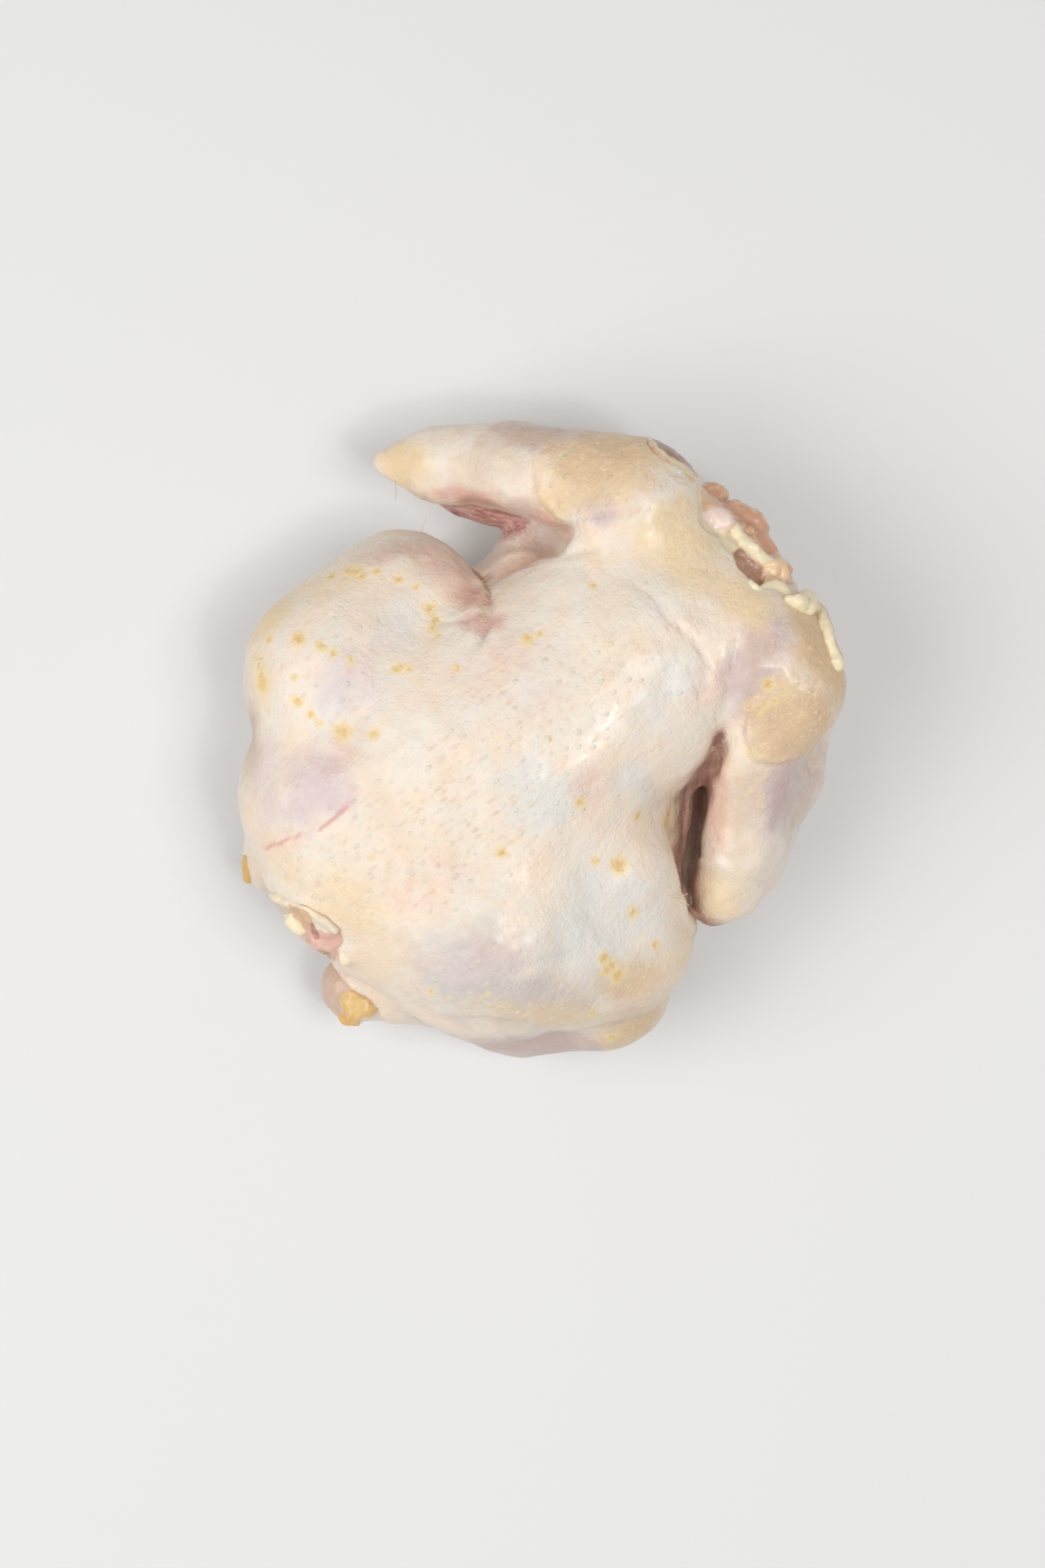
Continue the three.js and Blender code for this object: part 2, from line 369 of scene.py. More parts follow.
def fill_pinches(values, step):
    """Fills the nearest corner of each pinched cell until none is left."""
    for _ in range(FILL_ROUNDS):
        corners = cell_corners(values)
        codes = ((corners < 0) * (1 << np.arange(8))).sum(-1)
        cells = np.argwhere(PINCHED[codes])
        if len(cells) == 0:
            return
        held = corners[tuple(cells.T)]
        nearest = np.where(held >= 0, held, np.inf).argmin(1)
        spots = cells + np.array(CORNERS)[nearest]
        values[tuple(spots.T)] = -FILL_DEPTH * step


def skin_over(clay):
    """Vertices in millimetres and outward quads over the clay."""
    values = clay.values
    fill_pinches(values, clay.step)
    corners = cell_corners(values)
    solid = (corners < 0).sum(-1)
    active = (solid > 0) & (solid < 8)
    cells, held = np.argwhere(active), corners[active]
    total, crossings = np.zeros((len(cells), 3)), np.zeros(len(cells))
    for m, n in CELL_EDGES:
        crossed = (held[:, m] < 0) != (held[:, n] < 0)
        before, after = held[crossed, m], held[crossed, n]
        share = (before / (before - after))[:, None]
        start, end = np.array(CORNERS[m]), np.array(CORNERS[n])
        total[crossed] += start + share * (end - start)
        crossings[crossed] += 1
    points = clay.low + clay.step * (cells + total / crossings[:, None])

    vertex_of = np.full(active.shape, -1)
    vertex_of[active] = np.arange(len(cells))
    quads = []
    inside = values < 0
    for axis in range(3):
        u, v = (axis + 1) % 3, (axis + 2) % 3
        first = np.take(inside, range(inside.shape[axis] - 1), axis)
        second = np.take(inside, range(1, inside.shape[axis]), axis)
        for start_inside in (True, False):
            edges = np.argwhere((first != second) & (first == start_inside))
            ring = []
            for du, dv in ((0, 0), (1, 0), (1, 1), (0, 1)):
                cell = edges.copy()
                cell[:, u] -= du
                cell[:, v] -= dv
                ring.append(vertex_of[tuple(cell.T)])
            quads.append(np.stack(ring if start_inside else ring[::-1], 1))
    return points, np.concatenate(quads)


print("a cell has", len(CELL_EDGES), "edges that the skin may cross")

# %% Clean and even surfaces


def largest_body(points, quads):
    """Drops any small loose scrap and keeps the largest connected surface."""
    label = np.arange(len(points))
    while True:
        least = label[quads].min(1)
        before = label.copy()
        for column in range(4):
            np.minimum.at(label, quads[:, column], least)
        label = label[label]
        if (label == before).all():
            break
    names, sizes = np.unique(label, return_counts=True)
    keep = label == names[sizes.argmax()]
    renumber = np.cumsum(keep) - 1
    return points[keep], renumber[quads[keep[quads[:, 0]]]]


def vertex_normals(points, quads):
    """The outward direction at every vertex."""
    across = points[quads[:, 2]] - points[quads[:, 0]]
    other = points[quads[:, 3]] - points[quads[:, 1]]
    faces = np.cross(across, other)
    normals = np.zeros_like(points)
    for column in range(4):
        np.add.at(normals, quads[:, column], faces)
    return normals / np.maximum(np.linalg.norm(normals, axis=1, keepdims=True), 1e-9)


def ease(points, quads, passes, strength=0.5):
    """Moves every vertex part way to the mean of its neighbours."""
    count = np.zeros(len(points))
    pairs = [(quads[:, a], quads[:, (a + 1) % 4]) for a in range(4)]
    for start, _ in pairs:
        np.add.at(count, start, 1)
    for _ in range(passes):
        total = np.zeros_like(points)
        for start, end in pairs:
            np.add.at(total, start, points[end])
        points = points + strength * (total / count[:, None] - points)
    return points


def make_object(name, points, faces, material):
    """A smooth-shaded object from points in millimetres."""
    mesh = bpy.data.meshes.new(name)
    mesh.from_pydata((points * MM).tolist(), [], faces.tolist())
    mesh.shade_smooth()
    mesh.materials.append(material)
    piece = bpy.data.objects.new(name, mesh)
    scene.collection.objects.link(piece)
    return piece


print("meshing ready")

# %% [markdown]
# Skin is never even. Repeatable noise is made here once, by blending random slopes on a grid of
# points, and used for lumps, wrinkles and the ragged borders of every patch of colour.

# %% Even-handed noise
NOISE_SIZE = 32
NOISE_GAIN = 1.6


def wander(points, wavelength, seed):
    """Smooth noise from about -1 to 1, whose swells are a wavelength apart."""
    slopes = np.random.default_rng(seed).normal(size=(NOISE_SIZE,) * 3 + (3,))
    slopes /= np.linalg.norm(slopes, axis=-1, keepdims=True)
    place = points / wavelength
    base = np.floor(place).astype(int)
    part = place - base
    fade = part ** 3 * (part * (part * 6 - 15) + 10)
    total = np.zeros(len(points))
    for corner in CORNERS:
        index = (base + corner) % NOISE_SIZE
        slope = slopes[index[:, 0], index[:, 1], index[:, 2]]
        weight = np.prod(np.where(corner, fade, 1 - fade), axis=1)
        total += weight * (slope * (part - corner)).sum(1)
    return total * NOISE_GAIN


def ramp(value, start, end):
    """Smooth step from 0 at start to 1 at end."""
    share = np.clip((value - start) / (end - start), 0, 1)
    return share * share * (3 - 2 * share)


print("noise ready")

# %% [markdown]
# The bird's form follows its skeleton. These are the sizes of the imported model, measured from a
# point 1.9 mm behind the middle of its outline, with the skin drawn tighter: finer creases at the
# thighs, a web of skin in each armpit and the thick rolled edges of skin where neck and tail were cut.

# %% Trunk, legs and wings
STEP = 1.45
EASE_PASSES = 3
HIP_HEIGHT = 57
SHOULDER_HEIGHT = 74
LEG_REST_HEIGHT = 22
BREAST_DROP = 32.5


def trunk(clay):
    """Trunk, back, left hip, tail stump, both halves of the breast, and neck stump."""
    clay.add(Mass((24, 0, 51), 160, 96, 98, squareness=2.3), 0)
    clay.add(Mass((-38, -2, 62), 120, 118, 66, squareness=2.4, tilt=5), 16)
    clay.add(Mass((-58, 24, HIP_HEIGHT), 72, 64, 58, squareness=2.2), 10)
    clay.add(Mass((-82, -1, 58), 38, 44, 44, squareness=2.4), 10)
    for side in (1, -1):
        clay.add(Mass((26, 25 * side, BREAST_DROP), 124, 64, 68, squareness=2.2), 8)
    clay.add(Mass((86, 8, 52), 37, 46, 44), 5)


def legs(clay):
    """Thigh and drumstick on each side, tucked in under the tail."""
    clay.add(Limb([(-37, 54, HIP_HEIGHT, 33), (-9, 59, 52, 28)]), 7)
    clay.add(Limb([(-6, 60, 36, 20), (-46, 46, LEG_REST_HEIGHT, 23), (-84, 28, 27, 12),
                   (-94, 20, 27, 12)], 8), 3)
    clay.add(Limb([(-48, -44, HIP_HEIGHT + 1, 38), (-20, -71, 50, 27)]), 12)
    clay.add(Mass((-4, -54, 58), 44, 44, 52), 10)
    clay.add(Limb([(-12, -66, 34, 24), (14, -54, 38, 22)]), 8)
    clay.add(Limb([(-31, -83, 34, 22), (-54, -66, LEG_REST_HEIGHT, 23), (-84, -41, 27, 12),
                   (-99, -31, 27, 13)], 8), 3)


def flank_hollow(clay):
    """The right flank, and the hollow in its side that the wing lies over."""
    clay.add(Mass((32, -50, 38), 42, 28, 48), 6)
    clay.carve(Limb([(45, -42, 80, 2), (38, -48, 74, 5), (30, -57.5, 66, 10.2), (19, -66, 60, 9.5),
                     (11, -77, 54, 6)], 4), 2.5)
    clay.carve(Limb([(44, -44, 62, 2), (36, -51, 54, 4), (28, -60, 48, 5), (18, -70, 46, 5),
                     (8, -82, 42, 5)], 4), 3)


def wings(clay):
    """Shoulder, folded wing and lower wing on each side, and the web in the left armpit."""
    clay.add(Mass((72, 36, SHOULDER_HEIGHT - 1), 48, 40, 40), 12)
    clay.add(Limb([(77, 41, SHOULDER_HEIGHT, 19), (51, 72, 60, 16), (33.5, 90, 50, 13),
                   (18.5, 103, 46, 3.2)], 3), 5)
    clay.add(Limb([(34, 94, 40, 10), (58, 72, 38, 12), (80, 51, 42, 11)], 5), 4)
    clay.add(Web([(72, 44, 78), (54, 56, 66), (52, 42, 76)], 4), 3)
    clay.add(Mass((78, -29, SHOULDER_HEIGHT + 1), 42, 44, 40), 12)
    clay.add(Limb([(78, -40, SHOULDER_HEIGHT + 1, 18), (56, -49, 69, 13.5), (35, -71, 58, 12.5),
                   (21, -81, 50, 9.5), (13, -84, 48, 5)], 5), 3)
    clay.add(Limb([(34, -82, 42, 8), (60, -64, 42, 12), (82, -46, 46, 12)], 5), 14)


def armpits(clay):
    """The hole at the top of the right wing's slit, and the pocket under the left wing."""
    clay.carve(Limb([(51.5, -37.5, 87, 1.8), (48.5, -39.5, 83, 3.4), (45, -42.5, 78, 3.0),
                     (41, -46.5, 72, 3.2)], 1.5), 1.5)
    clay.carve(Mass((38, 57, 66), 40, 12, 60, squareness=2.6, turn=118), 2)
    clay.carve(Mass((34, 49, 74), 40, 9, 40, squareness=2.6, turn=164), 2)
    clay.carve(Limb([(19, 60, 62, 3), (20.5, 50, 70, 2.5)], 0), 3)


def under_the_wings(clay):
    """The folded lower half of the left wing, and the flank that bulges in the pocket."""
    clay.add(Limb([(29, 90, 36, 7), (35, 79, 36, 8), (41, 71, 37, 8), (50, 63, 40, 8)], 5), 3)
    clay.add(Mass((43, 49, 34), 30, 24, 36), 5)
    clay.add(Mass((30, 46.5, 44), 28, 13, 33, turn=164), 4)


clay = Clay((-124, -118, -6), (120, 120, 112), STEP)
for build in (trunk, legs, flank_hollow, wings, armpits, under_the_wings):
    build(clay)
print("clay of", clay.values.size, "points")

# %% [markdown]
# The clay becomes the skin's mesh here. The bird rests on a table, so the clay is cut level at the
# floor, and a few rounds of easing take out the steps of the grid.

# %% The skin's mesh
part, floor_points = clay.region((-200, -200, -20), (200, 200, 8))
clay.values[part] = np.maximum(clay.values[part], -floor_points[2])
points, quads = largest_body(*skin_over(clay))
points = ease(points, quads, EASE_PASSES)
points[:, 2] = np.maximum(points[:, 2], 0)
points[:, :2] += SPINE_MIDDLE
normals = vertex_normals(points, quads)
print(len(quads) * 2, "triangles")

# %% [markdown]
# Every fold, stain and border of the skin is placed where the photograph shows it. Such a place is
# given as a point of the picture, across and down, and a ray from the camera finds the skin there.
# A reach in millimetres then says how far the mark spreads, in all directions, so that it also runs
# on down the sides that the camera doesn't see.

# %% Places on the skin
tree = BVHTree.FromPolygons(points.tolist(), quads.tolist())
eye = Vector((axis_x, axis_y, PLANE_HEIGHT + CAMERA_DISTANCE))
SEARCH_HEIGHTS = range(20, 96, 5)
PATCH_EDGE = (0.2, 1.3)
RIGHT = np.array([math.cos(SPINE_ANGLE), -math.sin(SPINE_ANGLE), 0])
UP = np.array([math.sin(SPINE_ANGLE), math.cos(SPINE_ANGLE), 0])


def on_skin(across, down):
    """The point of the skin that shows at a point of the picture, or the nearest one to it."""
    target = Vector((*picture_to_bird(across, down), PLANE_HEIGHT))
    hit = tree.ray_cast(eye, (target - eye).normalized())[0]
    if hit is None:
        nearest = [tree.find_nearest(Vector((*picture_to_bird(across, down, height), height)))
                   for height in SEARCH_HEIGHTS]
        hit = min(nearest, key=lambda found: found[3])[0]
    return np.array(hit)


def patch(places, ragged=0.25, grain=9.0, seed=1):
    """How strongly each vertex carries a finish. Each place has its point of the picture, across and
    down, its reach both ways in millimetres, its turn in degrees and its strength."""
    rough = ragged * (wander(points, grain, seed) + 0.5 * wander(points, grain / 2.3, seed + 50))
    total = np.zeros(len(points))
    for across, down, long, wide, turn, strength in places.values():
        offset = points - on_skin(across, down)
        right, up = offset @ RIGHT, offset @ UP
        turn = math.radians(turn)
        along = right * math.cos(turn) + up * math.sin(turn)
        other = up * math.cos(turn) - right * math.sin(turn)
        reach = np.sqrt((along / long) ** 2 + (other / wide) ** 2 + (offset[:, 2] / max(long, wide)) ** 2)
        total = np.maximum(total, strength * (1 - ramp(reach + rough, *PATCH_EDGE)))
    return total


print("the spine's middle lies at", [round(float(c), 1) for c in on_skin(*SPINE_POINT)], "mm")

# %% Lines and outlines on the skin
FAR_AWAY = 1e3
CUT_ROUNDING = 5
CUT_SLOPE = 0.7
CUT_SWAY = 3


def near_line(places):
    """How far each vertex is from a line through points of the picture, and where along it, 0 to 1."""
    stops = [on_skin(*place) for place in places]
    least, share = np.full(len(points), FAR_AWAY), np.zeros(len(points))
    pieces = 2 * (len(stops) - 1)
    for index in range(pieces):
        start, end = stops[index // 2], stops[index // 2 + 1]
        ends = [start + (end - start) * (index % 2 + more) / 2 for more in (0, 1)]
        first, last = [on_skin(*bird_to_picture(place[None])[0]) for place in ends]
        edge = last - first
        along = np.clip((points - first) @ edge / max(edge @ edge, 1e-6), 0, 1)
        away = np.linalg.norm(points - first - along[:, None] * edge, axis=1)
        share = np.where(away < least, (index + along) / pieces, share)
        least = np.minimum(least, away)
    return least, share


def near_path(stations):
    """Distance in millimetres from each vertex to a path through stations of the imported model."""
    least = np.full(len(points), FAR_AWAY)
    stations = np.array(stations, float) + (*SPINE_MIDDLE, 0)
    for start, end in zip(stations, stations[1:]):
        edge = end - start
        along = np.clip((points - start) @ edge / (edge @ edge), 0, 1)[:, None]
        least = np.minimum(least, np.linalg.norm(points - start - along * edge, axis=1))
    return least


def inside(outline, at=None):
    """Distance in millimetres inside an outline drawn on the picture, negative outside it."""
    at = points if at is None else at
    place = bird_to_picture(at)
    corners = np.array(outline, float)
    least = np.full(len(at), FAR_AWAY ** 3)
    crossed = np.zeros(len(at), bool)
    for start, end in zip(corners, np.roll(corners, -1, 0)):
        edge, offset = end - start, place - start
        along = np.clip(offset @ edge / (edge @ edge), 0, 1)[:, None]
        least = np.minimum(least, ((offset - along * edge) ** 2).sum(1))
        above = (start[1] > place[:, 1]) != (end[1] > place[:, 1])
        rise = edge[1] if edge[1] else 1e-9
        crossed ^= above & (place[:, 0] < edge[0] * (place[:, 1] - start[1]) / rise + start[0])
    return np.sqrt(least) * MM_PER_POINT * np.where(crossed, 1, -1)


def in_cut(outline, lowest, at=None):
    """Distance in millimetres inside a cut, which ends at its outline and at its lowest height."""
    at = points if at is None else at
    across, above = inside(outline, at), CUT_SLOPE * (at[:, 2] - lowest) + CUT_SWAY * wander(at, 8, 9)
    near = np.maximum(0, CUT_ROUNDING - np.abs(across - above))
    return np.minimum(across, above) - near ** 2 / (4 * CUT_ROUNDING)


def in_cuts(cuts, at=None):
    """Distance inside the deepest of several cuts, each with the lowest height that it reaches."""
    return np.max([in_cut(outline, lowest, at) for outline, lowest in cuts], axis=0)


print("lines, outlines and cuts ready")

# %% [markdown]
# Under the skin lie muscle, fat and bone, so it swells and sinks softly everywhere. On top of that
# come the marks of this bird: thicker quilted skin over both upper arms, which ends in a step, thick
# skin at the wing tips, a deep fold where the left thigh meets the flank, and the drawn-in edges
# where the neck and tail were cut. Each is a push along the skin's own outward direction.

# %% Outlines of thick skin, thighs and cuts
LEFT_PAD = [(612, 520), (618, 570), (640, 594), (672, 604), (722, 598), (775, 580), (806, 560), (770, 508),
            (700, 480), (640, 480)]
RIGHT_PAD = [(856, 842), (866, 872), (892, 876), (930, 862), (960, 836), (990, 800), (985, 740), (940, 700),
             (905, 742), (884, 790), (862, 812)]
LEFT_TIP = [(420, 531), (470, 470), (498, 478), (494, 520), (486, 577), (450, 560)]
RIGHT_TIP = [(798, 985), (826, 984), (851, 1001), (878, 1018), (860, 1060), (800, 1080), (780, 1040)]
NECK_CUT = [(740, 494), (750, 513), (766, 525), (783, 535), (797, 546), (805, 556), (804, 566), (806, 584),
            (806, 600), (813, 607), (826, 612), (832, 624), (842, 634), (847, 650), (861, 664), (872, 674),
            (880, 667), (897, 668), (908, 668), (990, 640), (900, 520), (790, 470)]
LIP_CUT = [(304, 1023), (314, 1032), (330, 1040), (345, 1044), (358, 1051), (374, 1060), (384, 1068),
           (391, 1080), (385, 1090), (382, 1104), (360, 1120), (300, 1100), (290, 1060)]
KNUCKLE_CUT = [(372, 1086), (379, 1094), (381, 1106), (386, 1118), (400, 1136), (420, 1149), (432, 1160),
               (440, 1172), (440, 1200), (340, 1200), (320, 1090)]
RIGHT_THIGH = [(470, 1120), (500, 1164), (560, 1166), (620, 1173), (680, 1192), (722, 1206), (770, 1180),
               (800, 1100), (760, 1000), (600, 1000)]
LEFT_THIGH = [(505, 612), (530, 636), (547, 660), (562, 682), (562, 700), (556, 722), (548, 745), (500, 790),
              (400, 830), (300, 830), (270, 700), (380, 600)]
NECK_CUTS = [(NECK_CUT, 52)]
LIP_LOWEST, KNUCKLE_LOWEST = 44, 10
TAIL_CUTS = [(LIP_CUT, LIP_LOWEST), (KNUCKLE_CUT, KNUCKLE_LOWEST)]
print("the neck's cut has", len(NECK_CUT), "corners")

# %% Steps and grooves
FACES_UP = (-0.35, 0.1)
BELOW_FLOOR = -20
RAGGED_GRAIN = 4.5
BANK = (0.2, 2.2, 1.1)
upward = ramp(normals[:, 2], *FACES_UP)


def step(outline, height, width, fold=0.0, ragged=0.0, lowest=BELOW_FLOOR):
    """A rise of the skin inside an outline, with a rolled rim."""
    depth = in_cut(outline, lowest) + ragged * wander(points, RAGGED_GRAIN, 6)
    rim = np.exp(-((depth - width) / width) ** 2) * fold
    return upward * (height * ramp(depth, -width, width) + rim)


def groove(places, depth, width):
    """A crease drawn along a line, with softly raised banks. It fades out at both ends."""
    away, along = near_line(places)
    away = away / width
    fade = ramp(along, 0, 0.2) * (1 - ramp(along, 0.75, 1))
    height, middle, spread = BANK
    return fade * (height * depth * np.exp(-((away - middle) / spread) ** 2) - depth * np.exp(-away ** 2))


print("the skin faces up on", round(float((upward > 0.5).mean()), 2), "of its vertices")

# %% Relief of the skin
# Each swell has its height and wavelength in millimetres and its seed.
SWELLS = ((0.9, 26, 1), (0.5, 12, 2), (0.28, 6, 3))
DEEPEST, HIGHEST = -5, 2.2
GROUNDED = 3.0
# Each groove has its line on the picture, and its depth and width in millimetres.
GROOVES = {
    "over the left thigh's fold": ([(510, 620), (530, 640), (547, 660), (560, 674)], 0.8, 1.5),
    "left thigh's fold": ([(563, 676), (561, 690), (560, 708), (554, 730), (546, 752)], 1.9, 1.8),
    "across the fold": ([(560, 704), (540, 712), (515, 716), (492, 712)], 0.5, 1.4),
    "rim of the left armpit": ([(648, 638), (664, 632), (696, 628)], 0.8, 1.5),
    "left flank": ([(556, 676), (572, 666), (590, 657), (612, 648)], 0.7, 1.5),
    "beside the right shoulder": ([(850, 720), (846, 760), (836, 800), (830, 830)], 1.2, 2.6),
    "from the left armpit": ([(654, 630), (668, 652), (684, 676)], 0.4, 1.4),
    "second from the armpit": ([(662, 618), (688, 642), (706, 668)], 0.35, 1.4),
    "over the right shoulder blade": ([(700, 650), (752, 690), (806, 752)], 0.35, 1.5),
    "second over the blade": ([(764, 702), (806, 744), (842, 792)], 0.3, 1.4),
    "skin's edge by the neck": ([(800, 556), (790, 548), (776, 540), (760, 530)], 0.7, 1.6),
    "scratch on the left hip": ([(405, 925), (380, 944), (350, 958), (306, 975)], 0.35, 0.9),
}
relief = sum(height * wander(points, wavelength, seed) for height, wavelength, seed in SWELLS)
left_rim = patch({"inner end": (618, 550, 9, 17, 0, 1.0), "lower side": (655, 600, 20, 8, -15, 1.0)}, 0, 9)
right_rim = patch({"lower end": (900, 862, 26, 11, 20, 1.0), "inner side": (864, 830, 8, 14, 0, 1.0)}, 0, 9)
relief += left_rim * step(LEFT_PAD, 1.0, 1.0, 0.5) + right_rim * step(RIGHT_PAD, 1.6, 0.8, 0.8)
relief += step(LEFT_TIP, 0.6, 1.0) + step(RIGHT_TIP, 0.8, 0.9, 0.3)
for cuts, drop, width in ((NECK_CUTS, -3.7, 0.9), (TAIL_CUTS, -2.8, 1.1)):
    relief += np.min([step(outline, drop, width, 0, 0.6, lowest) for outline, lowest in cuts], axis=0)
for line, depth, width in GROOVES.values():
    relief += groove(line, depth, width)
relief += 1.2 * ramp(inside(RIGHT_THIGH), -1.2, 1.2) * patch({"edge": (610, 1165, 40, 14, -10, 1.0)}, 0, 9)
relief += 1.4 * ramp(inside(LEFT_THIGH), -1.5, 1.5) * patch({"edge": (545, 680, 16, 20, 0, 1.0)}, 0, 9)
relief += 1.4 * patch({"knob over the tail": (397, 1099, 4.6, 5.6, 30, 1.0)}, 0.1, 6, 7)
relief += 0.6 * patch({"lip over the tail": (340, 1034, 16, 3, -38, 1.0),
                       "lip by the left leg": (306, 1014, 5, 3, -38, 1.0)}, 0.2, 5, 8)
relief = np.clip(relief, DEEPEST, HIGHEST) * ramp(points[:, 2], 0.0, GROUNDED)
points = points + normals * relief[:, None]
points[:, 2] = np.maximum(points[:, 2], 0)
normals = vertex_normals(points, quads)
print(f"relief from {relief.min():.1f} to {relief.max():.1f} mm")

# %% [markdown]
# Chicken skin is thin and nearly clear, so its colour is what lies beneath: yellow where there is fat,
# lavender or bluish over dark muscle, pink at the folds and peach where feathers grew in rows. Some
# finishes are painted shade instead: a grey on the lower sides, the inner tone in the slit and the
# pockets, darker lines along the creases, and part of the tan. Each of these finishes gets a named set
# of places and one number per vertex, and the material mixes them. Painting by number in code keeps
# the borders ragged and lets a colour be tuned without repainting.

# %% Where fat shows yellow, and tan that is partly painted shade
YELLOW = {
    "base of the neck": (785, 630, 27, 17, -40, 0.75),
    "neck towards the right shoulder": (850, 690, 18, 10, -40, 0.7),
    "neck towards the left shoulder": (770, 590, 16, 9, 20, 0.75), "left arm pad": (690, 535, 25, 17, 5, 1.0),
    "left pad's inner side": (640, 570, 12, 10, 30, 0.8), "left shoulder's top": (745, 510, 14, 6, -20, 0.9),
    "right shoulder cap": (940, 745, 26, 10, -68, 1.0), "right arm pad": (915, 825, 20, 17, 40, 1.0),
    "right pad's inner side": (875, 815, 7, 9, 60, 1.0), "right pad's rim": (880, 862, 10, 5, 10, 0.85),
    "left wing tip": (462, 532, 14, 13, 20, 0.95), "right wing tip": (828, 1024, 16, 13, 40, 0.6),
    "over the tail": (395, 1040, 26, 15, -42, 0.6), "left of the tail": (330, 1000, 20, 9, -45, 0.5),
    "tail's lower side": (430, 1110, 22, 12, -20, 0.4), "left thigh's edge": (312, 700, 22, 11, 60, 0.9),
    "left thigh's front": (370, 672, 22, 8, 20, 0.5), "left leg's outer side": (300, 780, 16, 7, 90, 0.55),
    "right thigh's lower edge": (640, 1166, 42, 7, -8, 0.6), "right thigh's end": (735, 1180, 16, 10, 40, 0.85),
    "right thigh's outer edge": (790, 1090, 10, 24, -20, 0.5), "right flank edge": (770, 960, 6, 20, 0, 0.6),
    "middle of the back": (700, 730, 30, 20, 50, 0.3), "hip": (470, 960, 45, 32, 30, 0.25),
    "left side of the breast": (300, 900, 8, 30, 90, 0.2),
    "right flank's lower side": (725, 1125, 16, 12, 0, 0.55),
    "over the left armpit": (690, 640, 14, 6, 0, 0.3),
}
# Tan is partly a duller fat tone and partly painted shade, on the arm pads, the limbs and the lower and outer
# sides.
TAN_AND_SHADE = {
    "left arm pad": (690, 528, 28, 18, 5, 0.85), "right arm pad": (918, 828, 23, 19, 40, 0.95),
    "right pad's inner side": (874, 812, 9, 10, 60, 0.7), "right shoulder cap": (948, 745, 26, 14, -68, 0.9),
    "left wing's limb": (560, 536, 26, 12, 5, 0.5), "left limb's top": (604, 502, 16, 6, 0, 0.5),
    "right wing's limb": (855, 925, 26, 11, 85, 0.6), "right shoulder": (868, 760, 18, 14, 60, 0.35),
    "right thigh's end": (732, 1170, 22, 15, 40, 0.8), "right flank's lower side": (724, 1125, 18, 14, 0, 0.6),
    "left leg's outer edge": (284, 850, 26, 7, 90, 0.6),
    "left thigh's front": (440, 628, 30, 8, 12, 0.25),
}
print(len(YELLOW) + len(TAN_AND_SHADE), "places of fat")

# %% Where dark muscle shows through, and where shade is painted
LAVENDER = {
    "left thigh": (405, 785, 20, 13, 70, 0.6), "left thigh's knee": (455, 730, 18, 8, 55, 0.3),
    "left hip": (362, 905, 19, 16, 50, 0.95), "left leg": (430, 690, 14, 10, 20, 0.2),
    "right thigh": (545, 1102, 24, 12, 5, 0.75), "right thigh's middle": (590, 1138, 28, 10, -5, 0.45),
    "right thigh's far side": (700, 1040, 22, 12, 40, 0.2), "left pad's hollow": (694, 586, 8, 7, 0, 0.9),
    "right shoulder's inner side": (862, 782, 15, 12, 60, 1.0),
    "right wing's ridge": (902, 900, 22, 12, 75, 0.9),
    "right shoulder": (880, 745, 18, 12, 55, 0.6), "left side": (305, 900, 10, 20, 0, 0.6),
}
MAUVE = {
    "left wing's limb": (608, 498, 24, 8, 0, 1.0), "left wing's inner skin": (604, 583, 13, 4, -20, 0.9),
    "left armpit": (618, 618, 9, 8, 0, 1.0), "right shoulder": (875, 745, 18, 12, 55, 0.9),
    "right wing's ridge": (896, 915, 24, 7, 80, 0.75), "right wing's outer side": (925, 900, 24, 9, 70, 0.7),
    # On the right flank's side by the slit and along the left leg's outer edge, the mauve is painted shade.
    "right drumstick": (600, 1194, 38, 10, -8, 1.0), "right flank's side": (792, 905, 8, 16, 80, 0.7),
    "left leg's outer edge": (284, 845, 14, 4, 90, 1.0),
    "left thigh's edge by the fold": (535, 650, 12, 3, -50, 0.6),
    "left wing's underside": (480, 575, 10, 4, -40, 0.5), "right flank": (735, 905, 9, 6, 0, 0.3),
    "left thigh's top": (450, 632, 20, 5, 12, 0.5), "left pad's hollow": (694, 586, 8, 7, 0, 0.6),
    "right shoulder's inner side": (860, 785, 11, 10, 60, 0.6), "right thigh": (548, 1100, 24, 12, 5, 0.25),
    "left hip": (352, 905, 16, 14, 50, 0.3),
}
# Painted shade: a neutral grey on the lower and outer sides of the thighs, drumsticks, right wing and shoulder
# cap, and on the left thigh's top by the fold, where shade falls.
SHADE_PLACES = {
    "right thigh": (545, 1102, 34, 22, 0, 0.6), "right thigh's lower side": (590, 1148, 44, 14, -5, 0.85),
    "right drumstick": (600, 1195, 42, 12, -8, 1.0), "right thigh's end": (725, 1140, 20, 16, 0, 0.35),
    "right wing's outer side": (925, 905, 26, 12, 70, 0.4), "left thigh's top": (450, 628, 30, 7, 12, 0.4),
    "left leg's outer edge": (284, 850, 30, 7, 90, 0.5), "cap's outer side": (960, 770, 24, 8, -80, 0.5),
}
print(len(LAVENDER) + len(MAUVE) + len(SHADE_PLACES), "places of dark muscle")

